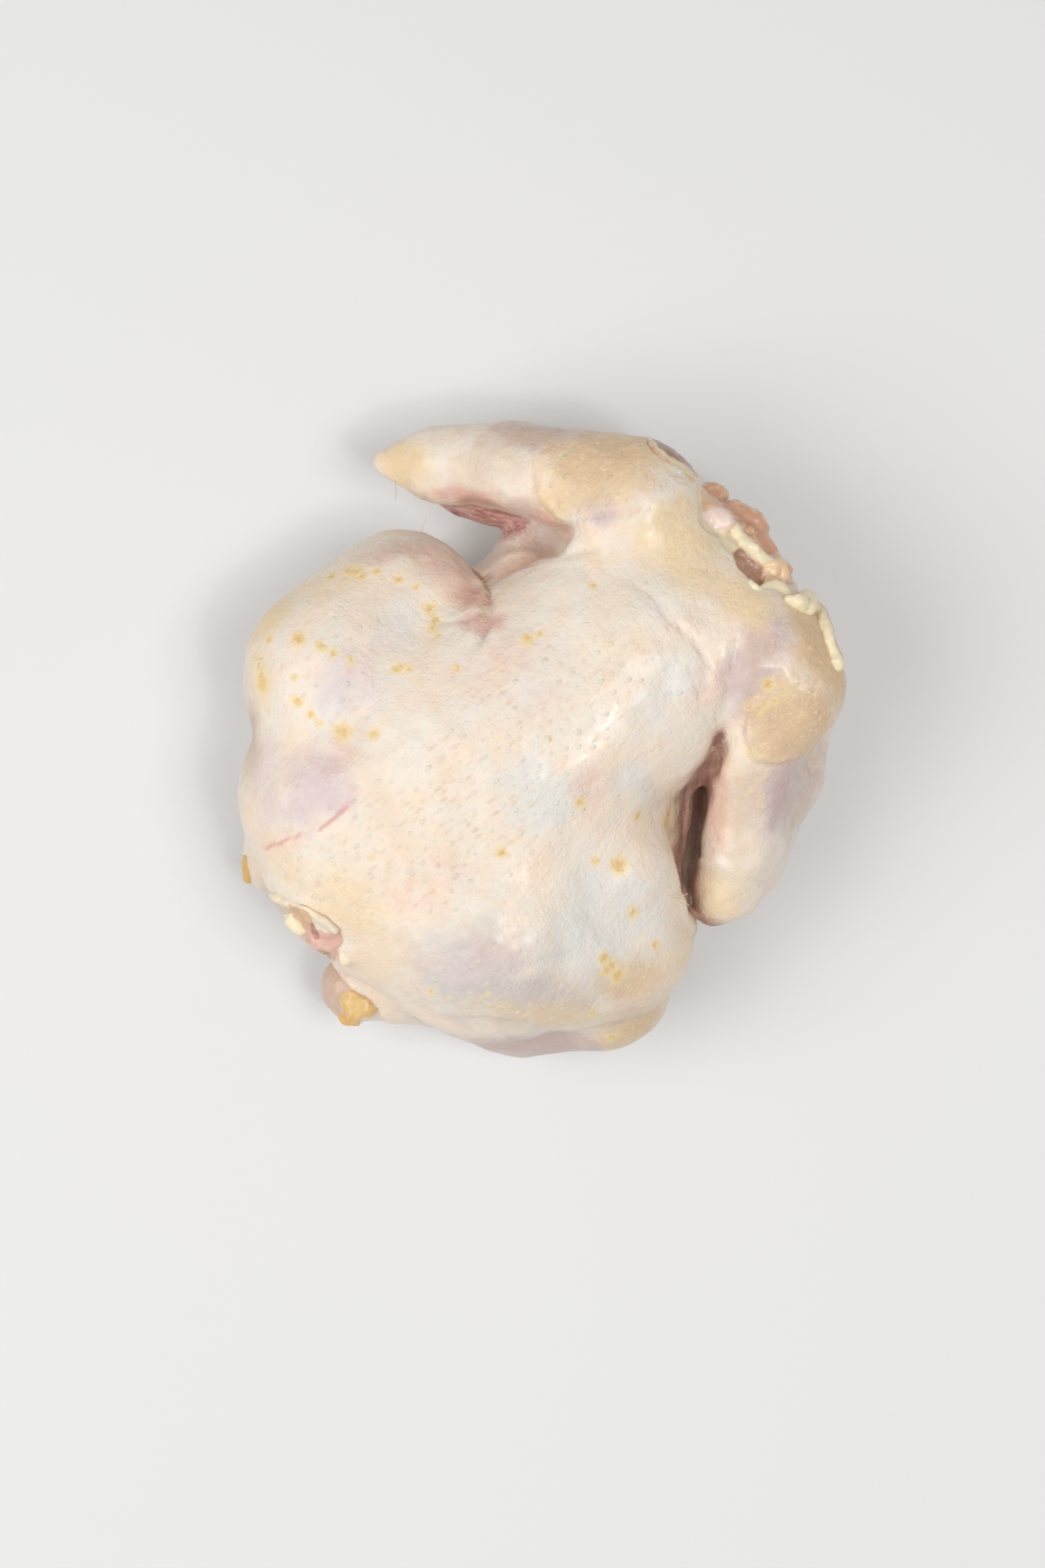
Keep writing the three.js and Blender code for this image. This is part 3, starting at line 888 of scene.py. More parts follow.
# %% Where the skin is thin or pink, and painted shade in its pockets
BLUE = {
    "right thigh": (690, 1060, 30, 24, 30, 0.85), "middle of the back": (620, 910, 16, 20, 60, 0.8),
    "right flank": (725, 890, 12, 9, 40, 0.7), "left hip": (530, 820, 22, 12, 40, 0.35),
    "spine by the shoulders": (730, 690, 24, 16, 40, 0.5), "right shoulder blade": (765, 790, 24, 12, 60, 0.6),
    "left leg": (450, 722, 18, 11, 60, 0.5), "right wing's limb": (855, 930, 20, 7, 85, 0.6),
    "left wing's limb": (560, 540, 18, 8, 5, 0.4), "right thigh's lower part": (530, 1125, 26, 10, 0, 0.6),
    "right wing's edge": (915, 960, 20, 9, 60, 0.6), "thigh's near side": (500, 1090, 14, 10, 0, 0.4),
    "left thigh": (385, 800, 12, 10, 60, 0.6), "back's middle": (622, 772, 22, 16, 30, 0.5),
}
PINK = {
    "left thigh's fold": (541, 690, 11, 8, -40, 1.0), "fold of the flank": (558, 715, 6, 12, 80, 0.8),
    "left thigh's front": (505, 650, 18, 9, -30, 0.6), "left thigh's top": (450, 635, 14, 6, 10, 0.45),
    "back": (570, 760, 24, 14, 30, 0.35), "back's middle": (630, 800, 16, 12, 30, 0.3),
    "right flank": (680, 905, 12, 9, 60, 0.45), "left hip": (400, 860, 16, 10, 40, 0.35),
    "left wing's inner edge": (545, 572, 18, 4, -12, 1.0), "left armpit": (628, 596, 8, 6, -30, 0.9),
    "rim of the left armpit": (650, 612, 3, 8, 0, 0.6), "flank in the left armpit": (590, 652, 12, 5, 25, 0.6),
    "right wing's inner edge": (824, 920, 5, 26, 0, 0.7), "left limb of the tail": (320, 960, 14, 8, 20, 0.3),
    "spine's end": (500, 1010, 24, 14, 30, 0.3), "right knuckle": (376, 1125, 7, 11, 80, 0.55),
    "over the right wing's slit": (815, 790, 14, 10, 60, 0.35),
    "right wing's ridge": (900, 900, 16, 4, 80, 0.4),
    "right wing tip": (815, 1010, 10, 8, 60, 0.4),
}
# The inner tone is painted shade: the dark of the pockets by the left armpit, of the hole at the top of the
# right wing's slit and of the left drumstick's edge.
INNER_SHADE = {
    "left flank's end": (560, 664, 5, 3, 40, 0.6), "left drumstick": (283, 842, 13, 4.5, 90, 0.4),
    "left armpit": (612, 618, 9, 7, 0, 0.45),
    "hole at the slit's top": (824, 849, 5.6, 2.8, 70, 1.0), "below the hole": (817, 874, 9, 2.6, 75, 0.9),
}
print(len(BLUE) + len(PINK) + len(INNER_SHADE), "places of thin skin")

# %% Shares of the finishes
# Each finish has its places, its raggedness, the grain of its border in millimetres and a seed.
FINISHES = {
    "yellow": (YELLOW, 0.28, 12, 11), "lavender": (LAVENDER, 0.35, 9, 21), "mauve": (MAUVE, 0.3, 8, 26),
    "blue": (BLUE, 0.3, 11, 31), "pink": (PINK, 0.3, 9, 41), "tan": (TAN_AND_SHADE, 0.25, 9, 46),
    "painted_shade": (SHADE_PLACES, 0.25, 10, 47), "inner": (INNER_SHADE, 0.25, 8, 51),
}
finishes = {name: patch(*settings) for name, settings in FINISHES.items()}
# The walls of the slit beside the right wing get the same painted shade, fading out low down.
SLIT = [(49, -39, 62), (42, -45, 56), (30, -57, 44), (10, -80, 38)]
UNDER_LEFT_WING = [(24, 84, 34), (36, 71, 38), (44, 61, 42)]
SLIT_REACH, SLIT_HEIGHTS = (12, 22), (30, 52)
WING_REACH, WING_SHARE, WING_LOWEST = (7, 13), 0.85, 12
slit_shade = 1 - ramp(near_path(SLIT) + 2 * wander(points, 7, 55), *SLIT_REACH)
wing_share = WING_SHARE - WING_SHARE * ramp(near_path(UNDER_LEFT_WING) + 2 * wander(points, 6, 56), *WING_REACH)
finishes["inner"] = np.maximum(finishes["inner"], slit_shade * ramp(points[:, 2], *SLIT_HEIGHTS))
finishes["raw"] = wing_share * (points[:, 2] > WING_LOWEST)
print({name: round(float(amount.mean()), 3) for name, amount in finishes.items()})

# %% [markdown]
# Smaller marks need sharper edges: amber scabs where quills broke off, two red scratches, painted shade
# along the creases, and the outline of the cuts, where the skin steps down under the raw meat and takes
# a little painted shade. Wrinkles run in fans, from the armpit out over the shoulder and down the flank,
# so each fan is given as turning coordinates round its own centre: a pattern stretched in those
# coordinates comes out as long radiating creases.

# %% Amber spots
AMBER_SPOTS = {
    (380, 662): 2.0, (408, 657): 2.2, (432, 656): 1.4, (457, 664): 1.6, (478, 673): 1.2, (320, 690): 1.6,
    (343, 733): 2.4, (366, 740): 1.6, (383, 750): 1.6, (402, 759): 1.5, (301, 786): 3.2, (337, 778): 1.4,
    (341, 805): 2.0, (357, 820): 1.6, (366, 831): 1.6, (394, 840): 3.4, (430, 842): 2.2, (493, 699): 2.2,
    (497, 722): 1.8, (459, 767): 1.8, (428, 985): 1.2, (576, 979): 2.0, (684, 988): 1.5, (711, 994): 3.0,
    (728, 1048): 2.4, (752, 1085): 1.8, (693, 1100): 2.2, (698, 1115): 2.0, (710, 1120): 2.6, (679, 1162): 1.6,
    (703, 1190): 2.0, (495, 1138): 1.4, (560, 1140): 1.2, (733, 936): 1.8, (606, 735): 2.4, (680, 672): 1.4,
    (620, 728): 1.4, (668, 922): 2.0, (766, 945): 2.4, (768, 935): 2.0, (882, 786): 2.2, (310, 735): 1.6,
    (524, 766): 1.4, (452, 770): 1.3, (470, 768): 1.3, (632, 850): 0.8, (872, 816): 1.4, (880, 809): 1.6,
    (889, 805): 1.4, (416, 661): 1.6, (400, 655): 1.8, (300, 776): 2.0, (372, 745): 1.2, (500, 712): 1.6,
    (503, 730): 1.2, (704, 1108): 2.0,
}


def spots(places):
    """1 at the middle of each spot, a half at its reach and 0 at twice its reach."""
    total = np.zeros(len(points))
    for place, reach in places.items():
        away = np.linalg.norm(points - on_skin(*place), axis=1) / reach
        total = np.maximum(total, 1 - away / 2)
    return total


finishes["amber"] = spots(AMBER_SPOTS)
PINS = {(715, 997): 0.55, (727, 1048): 0.6, (683, 988): 0.5, (577, 979): 0.45, (632, 850): 0.3, (380, 663): 0.4}
finishes["pin"] = spots(PINS)
print(len(AMBER_SPOTS), "amber spots")

# %% Fans of wrinkles
FAN_RADIUS = 15


def fan(centre, toward, fold_width, fold_length):
    """Turning coordinates round a point of the picture, measured from the bearing of the fan's middle."""
    offset = points - on_skin(*centre)
    right, up = offset @ RIGHT, offset @ UP
    turn = (np.arctan2(up, right) - math.radians(toward) + math.pi) % (2 * math.pi) - math.pi
    return np.stack([turn * FAN_RADIUS / fold_width, np.hypot(right, up) / fold_length, 0 * turn], 1)


def arc_share(centre, reach, first, last, start=3.0):
    """1 in a sector round a point of the picture, between two bearings in degrees, 0 outside."""
    offset = points - on_skin(*centre)
    bearing = np.degrees(np.arctan2(offset @ UP, offset @ RIGHT)) % 360
    away = np.hypot(offset @ RIGHT, offset @ UP)
    middle, spread = (first + last) / 2, (last - first) / 2
    turn = np.abs((bearing - middle + 180) % 360 - 180)
    return (1 - ramp(turn, spread * 0.6, spread)) * (1 - ramp(away, reach * 0.6, reach)) * ramp(away, 0, start)


ARMPIT = (862, 945)
THIGH_FOLD = (572, 684)
WING_LEAN = math.radians(-15)
wrinkle_place = fan(ARMPIT, toward=115, fold_width=1.1, fold_length=16)
armpit_share = np.maximum(
    0.8 * arc_share(ARMPIT, reach=100, first=85, last=150, start=34)
    * patch({"shoulder": (770, 720, 24, 38, 25, 1.0)}, 0.2, 9, 62),
    patch({"over the slit": (806, 800, 10, 16, 20, 1.0)}, 0.2, 9, 63))
fold_place = fan(THIGH_FOLD, toward=200, fold_width=2.0, fold_length=12)
fold_share = 0.4 * arc_share(THIGH_FOLD, reach=26, first=110, last=290)
flank = np.stack([points @ RIGHT / 1.8, points @ UP / 14, 0 * points[:, 0]], 1)
flank_share = patch({"right flank": (788, 930, 12, 26, 0, 1.0)}, 0.2, 8, 61)
use_fold = fold_share > armpit_share
wrinkle_place[use_fold] = fold_place[use_fold]
use_flank = flank_share > np.maximum(fold_share, armpit_share)
wrinkle_place[use_flank] = flank[use_flank]
along_wing = points @ RIGHT * math.cos(WING_LEAN) + points @ UP * math.sin(WING_LEAN)
across_wing = points @ UP * math.cos(WING_LEAN) - points @ RIGHT * math.sin(WING_LEAN)
under_wing = np.stack([along_wing / 9, across_wing / 1.3, points[:, 2] / 2.2], 1)
wrinkle_place[finishes["raw"] > 0] = under_wing[finishes["raw"] > 0]
finishes["wrinkled"] = np.maximum(np.maximum(armpit_share, fold_share), flank_share)
print("wrinkles on", int((finishes["wrinkled"] > 0.1).sum()), "vertices")

# %% Scratches, and painted shade along creases
# Each scratch has its line on the picture, how red it is, and its reach in millimetres.
SCRATCHES = {
    "over the left hip": ([(401, 922), (380, 943), (366, 953)], 1.0, 1.5),
    "below it": ([(347, 958), (328, 965), (304, 974)], 0.8, 1.4),
}
SCRATCH_CORE = 0.3
finishes["scratch"] = np.max([most - most * ramp(near_line(line)[0], SCRATCH_CORE, reach)
                              for line, most, reach in SCRATCHES.values()], axis=0)
# Each painted shade along a crease has its line on the picture and how dark it is.
CREASE_SHADES = {
    "edge of the left thigh": ([(538, 648), (550, 662), (560, 680), (563, 698), (558, 718), (550, 742)], 1.0),
    "across the thigh's fold": ([(500, 684), (522, 690), (544, 692), (560, 696)], 0.75),
    "under the thigh's fold": ([(514, 704), (534, 706), (556, 706)], 0.7),
    "flank in the left pocket": ([(560, 674), (574, 664), (594, 656), (618, 648), (644, 638)], 0.75),
    "from the left armpit": ([(654, 626), (668, 650), (688, 678)], 0.62),
    "beside it": ([(662, 616), (690, 642), (710, 672)], 0.62),
    "towards the spine": ([(648, 640), (672, 633), (702, 630)], 0.62),
    "over the right shoulder blade": ([(690, 642), (740, 680), (790, 730), (815, 768)], 0.62),
    "second over the blade": ([(742, 692), (790, 736), (832, 792)], 0.62),
    "top of the slit": ([(822, 800), (820, 820), (824, 838)], 0.65),
}
CREASE_SHADE_REACH = 3
finishes["crease"] = np.zeros(len(points))
for line, most in CREASE_SHADES.values():
    away, along = near_line(line)
    taper = np.minimum(1, 5 * np.minimum(along, 1 - along) + 0.5)
    finishes["crease"] = np.maximum(finishes["crease"], most * taper * (1 - away / CREASE_SHADE_REACH))
print(len(CREASE_SHADES), "creases")

# %% Where the skin is cut, wet or quilled
WET = {
    "right thigh": (656, 1036, 18, 10, 10, 1.0), "right flank": (674, 895, 9, 15, 60, 1.0),
    "right shoulder blade": (762, 780, 7, 16, 0, 0.3), "right flank's side": (730, 900, 10, 10, 0, 0.4),
    "left thigh": (455, 700, 18, 8, 20, 0.3), "left wing": (560, 520, 20, 8, 0, 0.3),
    "right wing": (900, 900, 20, 8, 70, 0.3),
}
QUILLED = {
    "back": (560, 900, 70, 36, 38, 1.0), "hip": (420, 1000, 40, 30, 38, 0.8),
    "left thigh": (380, 760, 34, 30, 60, 0.6), "spine by the shoulders": (690, 770, 40, 20, 50, 0.7),
}
CUT_EDGE = (0.6, 1.6)
PAD_QUILLS, PAD_EDGE = 0.9, (0, 2)
finishes["cut"] = upward * ramp(in_cuts(NECK_CUTS + TAIL_CUTS), *CUT_EDGE)
finishes["wet"] = patch(WET, 0.4, 7, 81)
finishes["quilled"] = np.clip(patch(QUILLED, 0.3, 16, 91) + PAD_QUILLS * ramp(inside(LEFT_PAD), *PAD_EDGE)
                              + PAD_QUILLS * ramp(inside(RIGHT_PAD), *PAD_EDGE), 0, 1)
print("quilled skin on", int((finishes["quilled"] > 0.5).sum()), "vertices")

# %% [markdown]
# The finish could be painted as an image, but a node material stays sharp at any distance. Noise of
# several sizes breaks up each colour, so that fat shows as marbling and not as a soft airbrush
# stain. Feather follicles lie in rows along the bird, so a cell pattern in body coordinates draws
# their peach dashes and raises their little domes, and a stretched noise adds the fine crepe lines.

# %% Node helpers


def paint(*screen):
    """A screen colour, three numbers from 0 to 255, as a shader colour."""
    return (*(c / 255 / 12.92 if c <= 10 else ((c / 255 + 0.055) / 1.055) ** 2.4 for c in screen), 1)


class Finish:
    """A material that is built node by node."""

    def __init__(self, name):
        self.material, self.shader = new_material(name)
        self.tree = self.material.node_tree
        self.place = self.new("ShaderNodeTexCoord").outputs["Object"]

    def new(self, kind, **settings):
        """A node with its settings."""
        node = self.tree.nodes.new(kind)
        for name, value in settings.items():
            setattr(node, name, value)
        return node

    def put(self, socket, value):
        """Links a socket to what another node gives, or sets it to a number."""
        if isinstance(value, bpy.types.NodeSocket):
            self.tree.links.new(value, socket)
        else:
            socket.default_value = value

    def wear(self, **settings):
        """Sets the shader's inputs by name."""
        for name, value in settings.items():
            self.put(self.shader.inputs[name.replace("_", " ")], value)

    def carried(self, name, vector=False):
        """What the vertices carry under a name."""
        node = self.new("ShaderNodeAttribute", attribute_name=name)
        return node.outputs["Vector" if vector else "Fac"]

    def math(self, operation, first, second=0.0):
        """A sum, product or other operation on two values."""
        node = self.new("ShaderNodeMath", operation=operation)
        self.put(node.inputs[0], first)
        self.put(node.inputs[1], second)
        return node.outputs[0]

    def times(self, first, second):
        return self.math("MULTIPLY", first, second)

    def ramp(self, value, start, end, low=0.0, high=1.0):
        """Smooth step from low at start to high at end."""
        node = self.new("ShaderNodeMapRange", interpolation_type="SMOOTHSTEP")
        for socket, number in zip(node.inputs, (value, start, end, low, high)):
            self.put(socket, number)
        return node.outputs[0]

    def noise(self, size, detail=3.0, roughness=0.55, place=None, shift=0.0):
        """Noise from 0 to 1 with features of a size in millimetres."""
        node = self.new("ShaderNodeTexNoise", noise_dimensions="4D")
        self.put(node.inputs["Vector"], place or self.place)
        self.put(node.inputs["W"], shift)
        self.put(node.inputs["Scale"], 1 / (size * MM) if place is None else 1 / size)
        self.put(node.inputs["Detail"], detail)
        self.put(node.inputs["Roughness"], roughness)
        return node.outputs["Fac"]

    def cells(self, feature, place, scale, randomness=1.0):
        """Distance to the middle or to the edge of scattered cells."""
        node = self.new("ShaderNodeTexVoronoi", feature=feature)
        for name, value in (("Vector", place), ("Scale", scale), ("Randomness", randomness)):
            self.put(node.inputs[name], value)
        return node.outputs["Distance"]

    def sway(self, noise, push):
        """Noise turned into a push up or down."""
        return self.times(self.math("SUBTRACT", noise, 0.5), push)

    def ragged(self, amount, first, second=None):
        """An amount that sways with one or two noises, each given with its push."""
        push = self.sway(*first)
        if second is not None:
            push = self.math("ADD", push, self.sway(*second))
        return self.math("ADD", amount, push)

    def blend(self, factor, first, second):
        """Mixes two colours."""
        node = self.new("ShaderNodeMix", data_type="RGBA")
        for index, value in zip((0, 6, 7), (factor, first, second)):
            self.put(node.inputs[index], value)
        return node.outputs[2]

    def bump(self, height, depth, before=None):
        """Relief from a height of 0 to 1 that stands for a depth in millimetres."""
        node = self.new("ShaderNodeBump")
        for name, value in (("Strength", 1.0), ("Distance", depth * MM), ("Height", height)):
            self.put(node.inputs[name], value)
        if before is not None:
            self.put(node.inputs["Normal"], before)
        return node.outputs["Normal"]


print("node helpers ready")

# %% Tones, stains and painted shade of the skin
# The grey of the lower sides, the two inner tones and the crease tone are painted shade, and the tan is partly.
TONES = {
    "peach": (242, 222, 203), "pale": (238, 228, 216), "yellow": (237, 209, 163), "lavender": (217, 198, 204),
    "mauve": (199, 175, 169), "blue": (225, 225, 222), "pink": (218, 162, 150), "inner": (196, 158, 140),
    "dark inner": (150, 108, 96), "tan": (214, 184, 152), "painted_shade": (192, 184, 181), "crease": (178, 128, 114),
    "raw": (206, 158, 150), "dark raw": (162, 100, 96), "amber": (222, 176, 106), "lemon": (240, 218, 160),
    "pin": (150, 104, 70), "scratch": (216, 160, 150), "dash": (230, 190, 164), "fat": (246, 230, 188),
    "grey": (212, 197, 184),
}
SKIN = {name: paint(*tone) for name, tone in TONES.items()}
# Each stain or painted shade has its name, how much of it shows at most, and how ragged its border is.
LAYERS = (("blue", 0.85, 0.5), ("lavender", 0.8, 0.5), ("painted_shade", 0.7, 0.4), ("mauve", 0.8, 0.5),
          ("pink", 0.75, 0.7), ("yellow", 0.9, 0.6), ("tan", 0.95, 0.3))


def stained(look, broad, middling, fine):
    """Pale skin with the stains of what lies under it, painted shade on its lower sides and partly in the tan,
    mottled and marbled where there is fat.
    """
    colour = look.blend(look.ramp(broad, 0.35, 0.65), SKIN["peach"], SKIN["pale"])
    for layer, most, rough in LAYERS:
        amount = look.carried(layer)
        ragged = look.ragged(amount, (middling, rough), (fine, rough / 2))
        shown = look.times(look.ramp(ragged, 0.0, 1.1, 0, most), look.ramp(amount, 0.0, 0.35))
        colour = look.blend(shown, colour, SKIN[layer])
    fatty = look.carried("yellow")
    mottle = look.times(look.ramp(look.noise(5.5, 3, 0.6, shift=19.0), 0.45, 0.65, 0, 0.16),
                        look.ramp(fatty, 0.2, 0.8))
    colour = look.blend(mottle, colour, SKIN["lemon"])
    marbling = look.times(look.ramp(look.noise(2.2, 4, 0.7, shift=11.0), 0.53, 0.68, 0, 0.6),
                          look.ramp(fatty, 0.0, 0.5, 0.45, 1.0))
    return look.blend(marbling, colour, SKIN["fat"])


print(len(SKIN), "tones and", len(LAYERS), "stains")

# %% Feather rows, scabs and raw places
LINE_STRETCH = (0.55, 3.0, 1.0)


def rows_and_lines(look):
    """Dots where feathers stood, 0 to 1, and the noise of fine lines along the rows."""
    place = look.carried("rows", vector=True)
    dots = look.ramp(look.cells("F1", place, 1.0, 0.7), 0.05, 0.42, 1.0, 0.0)
    grain = look.new("ShaderNodeVectorMath", operation="MULTIPLY")
    look.put(grain.inputs[0], place)
    look.put(grain.inputs[1], LINE_STRETCH)
    return look.times(dots, look.carried("quilled")), look.noise(1.0, 3, 0.6, place=grain.outputs[0])


def marked(look, colour, middling, fine, place):
    """Scabs, painted shade along creases and in the slit, pockets and cuts, scratches, pins, and the streaked
    colours under the wing.
    """
    scab = look.ragged(look.carried("amber"), (fine, 0.75), (middling, 0.5))
    colour = look.blend(look.ramp(scab, 0.22, 0.6, 0, 0.65), colour, SKIN["lemon"])
    colour = look.blend(look.ramp(scab, 0.5, 0.95, 0, 0.72), colour, SKIN["amber"])
    # The inner tones, streaked, are painted shade in the slit, the pockets and the cuts.
    under = look.blend(look.ramp(look.noise(3.2, 4, 0.6, place=place, shift=13.0), 0.38, 0.62),
                       SKIN["inner"], SKIN["dark inner"])
    streaked = look.blend(look.ramp(look.noise(1.0, 4, 0.6, place=place, shift=17.0), 0.42, 0.6),
                          SKIN["raw"], SKIN["dark raw"])
    # Darker lines along the creases are painted shade.
    crease = look.ragged(look.carried("crease"), (fine, 0.25))
    colour = look.blend(look.ramp(crease, 0.45, 0.8, 0, 0.7), colour, SKIN["crease"])
    for layer, tint, most in (("inner", under, 1.0), ("raw", streaked, 1.0),
                              ("scratch", SKIN["scratch"], 0.9), ("pin", SKIN["pin"], 0.8)):
        amount = look.ragged(look.carried(layer), (fine, 0.7))
        colour = look.blend(look.ramp(amount, 0.15, 1.05, 0, most), colour, tint)
    return colour


print("rows and marks ready")

# %% [markdown]
# Wet skin has two sheens: a soft one of its own and a thin clear film on top, so the finish has a
# coat. A little light goes into it and comes out again, which keeps the shadows warm. Relief too
# fine for the mesh is bump: the crinkle, the fine lines, the pores, the folds and a net of cracks.

# %% Skin finish


def skin_finish(name):
    look = Finish(name)
    broad, middling = look.noise(14, 3, 0.6), look.noise(4.5, 4, 0.65, shift=3.0)
    fine = look.noise(1.4, 3, 0.6, shift=7.0)
    folds_place = look.carried("wrinkle_place", vector=True)
    dots, lines = rows_and_lines(look)
    colour = stained(look, broad, middling, fine)
    colour = look.blend(look.times(dots, look.ramp(middling, 0.35, 0.6, 0.3, 0.6)), colour, SKIN["dash"])
    colour = look.blend(look.ramp(lines, 0.48, 0.75, 0, 0.16), colour, SKIN["grey"])
    colour = marked(look, colour, middling, fine, folds_place)
    film = look.times(look.carried("wet"), -0.3)
    folds = look.ramp(look.noise(1.0, 3, 0.5, place=folds_place), 0.3, 0.7)
    net = look.ramp(look.cells("DISTANCE_TO_EDGE", look.place, 1 / (2.6 * MM)), 0.0, 0.18)
    relief = None
    for height, depth in ((look.noise(2.2, 5, 0.64, shift=5.0), 0.6), (lines, 0.16), (dots, 0.18),
                          (look.times(folds, look.carried("wrinkled")), 0.34),
                          (look.times(net, look.ramp(middling, 0.4, 0.6)), 0.09)):
        relief = look.bump(height, depth, relief)
    look.wear(Base_Color=colour, Roughness=look.math("ADD", look.ramp(middling, 0.3, 0.7, 0.4, 0.54), film),
              Coat_Weight=0.25, Coat_Roughness=0.16, Specular_IOR_Level=0.4, Subsurface_Weight=0.2,
              Subsurface_Radius=(1.0, 0.45, 0.28), Subsurface_Scale=2.5 * MM, Normal=relief)
    return look.material


skin = skin_finish("skin")
print("skin finish has", len(skin.node_tree.nodes), "nodes")

# %% [markdown]
# The rows of feathers run along the bird, so each vertex gets its place along and around the body.
# With the shares of the finishes they are stored on the mesh, which then stands in for the packed
# model's plain chicken.

# %% The skinned bird
ROW_PITCH = 5.6
ROW_GAP = 2.3
BACK_RADIUS = 60.0
ROW_AXIS_HEIGHT = 45
CUT_SHADE = 0.2


def carry(mesh, numbers):
    """Stores named numbers or vectors on the vertices of a mesh."""
    for name, values in numbers.items():
        kind = "FLOAT" if values.ndim == 1 else "FLOAT_VECTOR"
        field = "value" if values.ndim == 1 else "vector"
        mesh.attributes.new(name, kind, "POINT").data.foreach_set(field, values.astype(np.float32).ravel())


around = np.arctan2(points[:, 1] - SPINE_MIDDLE[1], points[:, 2] - ROW_AXIS_HEIGHT)
rows_place = np.stack([points[:, 0] / ROW_PITCH, around * BACK_RADIUS / ROW_GAP, 0 * around], 1)
# A little painted shade darkens the skin where it steps down into the cuts.
finishes["inner"] = np.maximum(finishes["inner"], CUT_SHADE * finishes["cut"])
bird = make_object("raw_chicken", points, quads, skin)
carry(bird.data, finishes | {"rows": rows_place, "wrinkle_place": wrinkle_place})
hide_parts("chicken")
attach(bird, "root")
print(bird.name, len(bird.data.polygons) * 2, "triangles")

# %% [markdown]
# Where the neck was cut off, meat, a knob of cartilage and a band of fat push out of the skin. Small
# scraps laid on the body would look like pebbles, so a fine copy of this corner of the body is made
# just under the skin, the scraps are pressed into it, and it shows where the skin is cut away.
# One finish then paints meat, fat and cartilage on it by place.

# %% Finish of cut flesh
FLESH_TONES = {
    "light": (234, 200, 168), "dark": (214, 166, 136), "mauve": (158, 124, 106), "orange": (233, 190, 152),
    "red": (214, 162, 134), "gristle": (236, 214, 204), "fat": (242, 230, 196), "butter": (236, 220, 186),
    "hollow": (180, 136, 116), "peach": (240, 206, 168), "rosy": (223, 180, 166), "vein": (176, 116, 108),
    "ochre": (178, 134, 88), "tan": (214, 178, 142), "lilac": (206, 176, 158), "amber": (222, 184, 114),
    "yolk": (224, 178, 100), "cream": (243, 227, 200), "shade": (208, 186, 162), "pearl": (230, 218, 196),
}
FLESH = {name: paint(*tone) for name, tone in FLESH_TONES.items()}


def flesh_finish(name, layers):
    """Raw meat in two tones, with the named layers over it, wet and a little see-through."""
    look = Finish(name)
    streaks, fine = look.noise(4.0, 4, 0.65), look.noise(1.2, 3, 0.6, shift=2.0)
    tone = look.ramp(look.ragged(streaks, (fine, 0.5)), 0.35, 0.65)
    colour = look.blend(tone, FLESH["light"], FLESH["dark"])
    for layer in layers:
        share = look.carried(layer)
        amount = look.ragged(share, (streaks, 0.35), (fine, 0.35))
        shown = look.times(look.ramp(amount, 0.25, 0.75, 0, 0.92), look.ramp(share, 0, 0.2))
        colour = look.blend(shown, colour, FLESH[layer])
    colour = look.blend(look.ramp(look.noise(2.6, 4, 0.65, shift=8.0), 0.45, 0.7, 0, 0.22), colour,
                        FLESH["cream"])
    look.wear(Base_Color=colour, Roughness=look.ramp(fine, 0.3, 0.7, 0.28, 0.44), Coat_Weight=0.4,
              Coat_Roughness=0.15, Subsurface_Weight=0.25, Subsurface_Radius=(1.0, 0.4, 0.25),
              Subsurface_Scale=2 * MM, Normal=look.bump(look.noise(1.6, 5, 0.68, shift=5.0), 0.4))
    return look.material


NECK_LAYERS = ("butter", "fat", "mauve", "red", "orange", "gristle", "hollow", "peach")
TAIL_LAYERS = ("shade", "fat", "cream", "tan", "lilac", "rosy", "pearl", "amber", "yolk", "ochre", "vein")
neck_flesh, tail_flesh = flesh_finish("neck_flesh", NECK_LAYERS), flesh_finish("tail_flesh", TAIL_LAYERS)
print("two finishes for cut flesh")

# %% Scraps pressed into a fine corner of the body
FINE_STEP = 0.7
AIR = 5.0
FLOOR_GAP = 0.3
REGION_RISE = 8
FINE_EASE_PASSES = 2
COARSE_GRAIN, FINE_GRAIN, BORDER_GRAIN = 5.0, 2.2, 3.0
DRAWN_BACK = 3


def lump(across, down, length, width, height, turn=0.0, rise=0.0, squareness=2.4):
    """A soft lump that sits on the skin at a point of the picture, turned as the picture shows."""
    at = on_skin(across, down) + (0, 0, rise)
    return Mass(at, length, width, height, squareness, turn=turn - math.degrees(SPINE_ANGLE))


def strip(places, rise=0.0, softness=1.5):
    """A strip that follows points of the picture, each with its own radius, risen off the skin."""
    stations = []
    for across, down, radius in places:
        at = on_skin(across, down)
        at = at + rise * np.array(tree.find_nearest(Vector(at))[1])
        stations.append((*at, radius))
    return Limb(stations, softness)


def fine_corner(low, high, builders, depth):
    """The body's clay between two corners on a fine grid, drawn in by a depth in millimetres."""
    clay = Clay(low, high, FINE_STEP)
    for build in builders:
        build(clay)
    clay.low[:2] += SPINE_MIDDLE
    clay.lines = [clay.low[axis] + FINE_STEP * np.arange(clay.values.shape[axis]) for axis in range(3)]
    clay.values += depth
    return clay


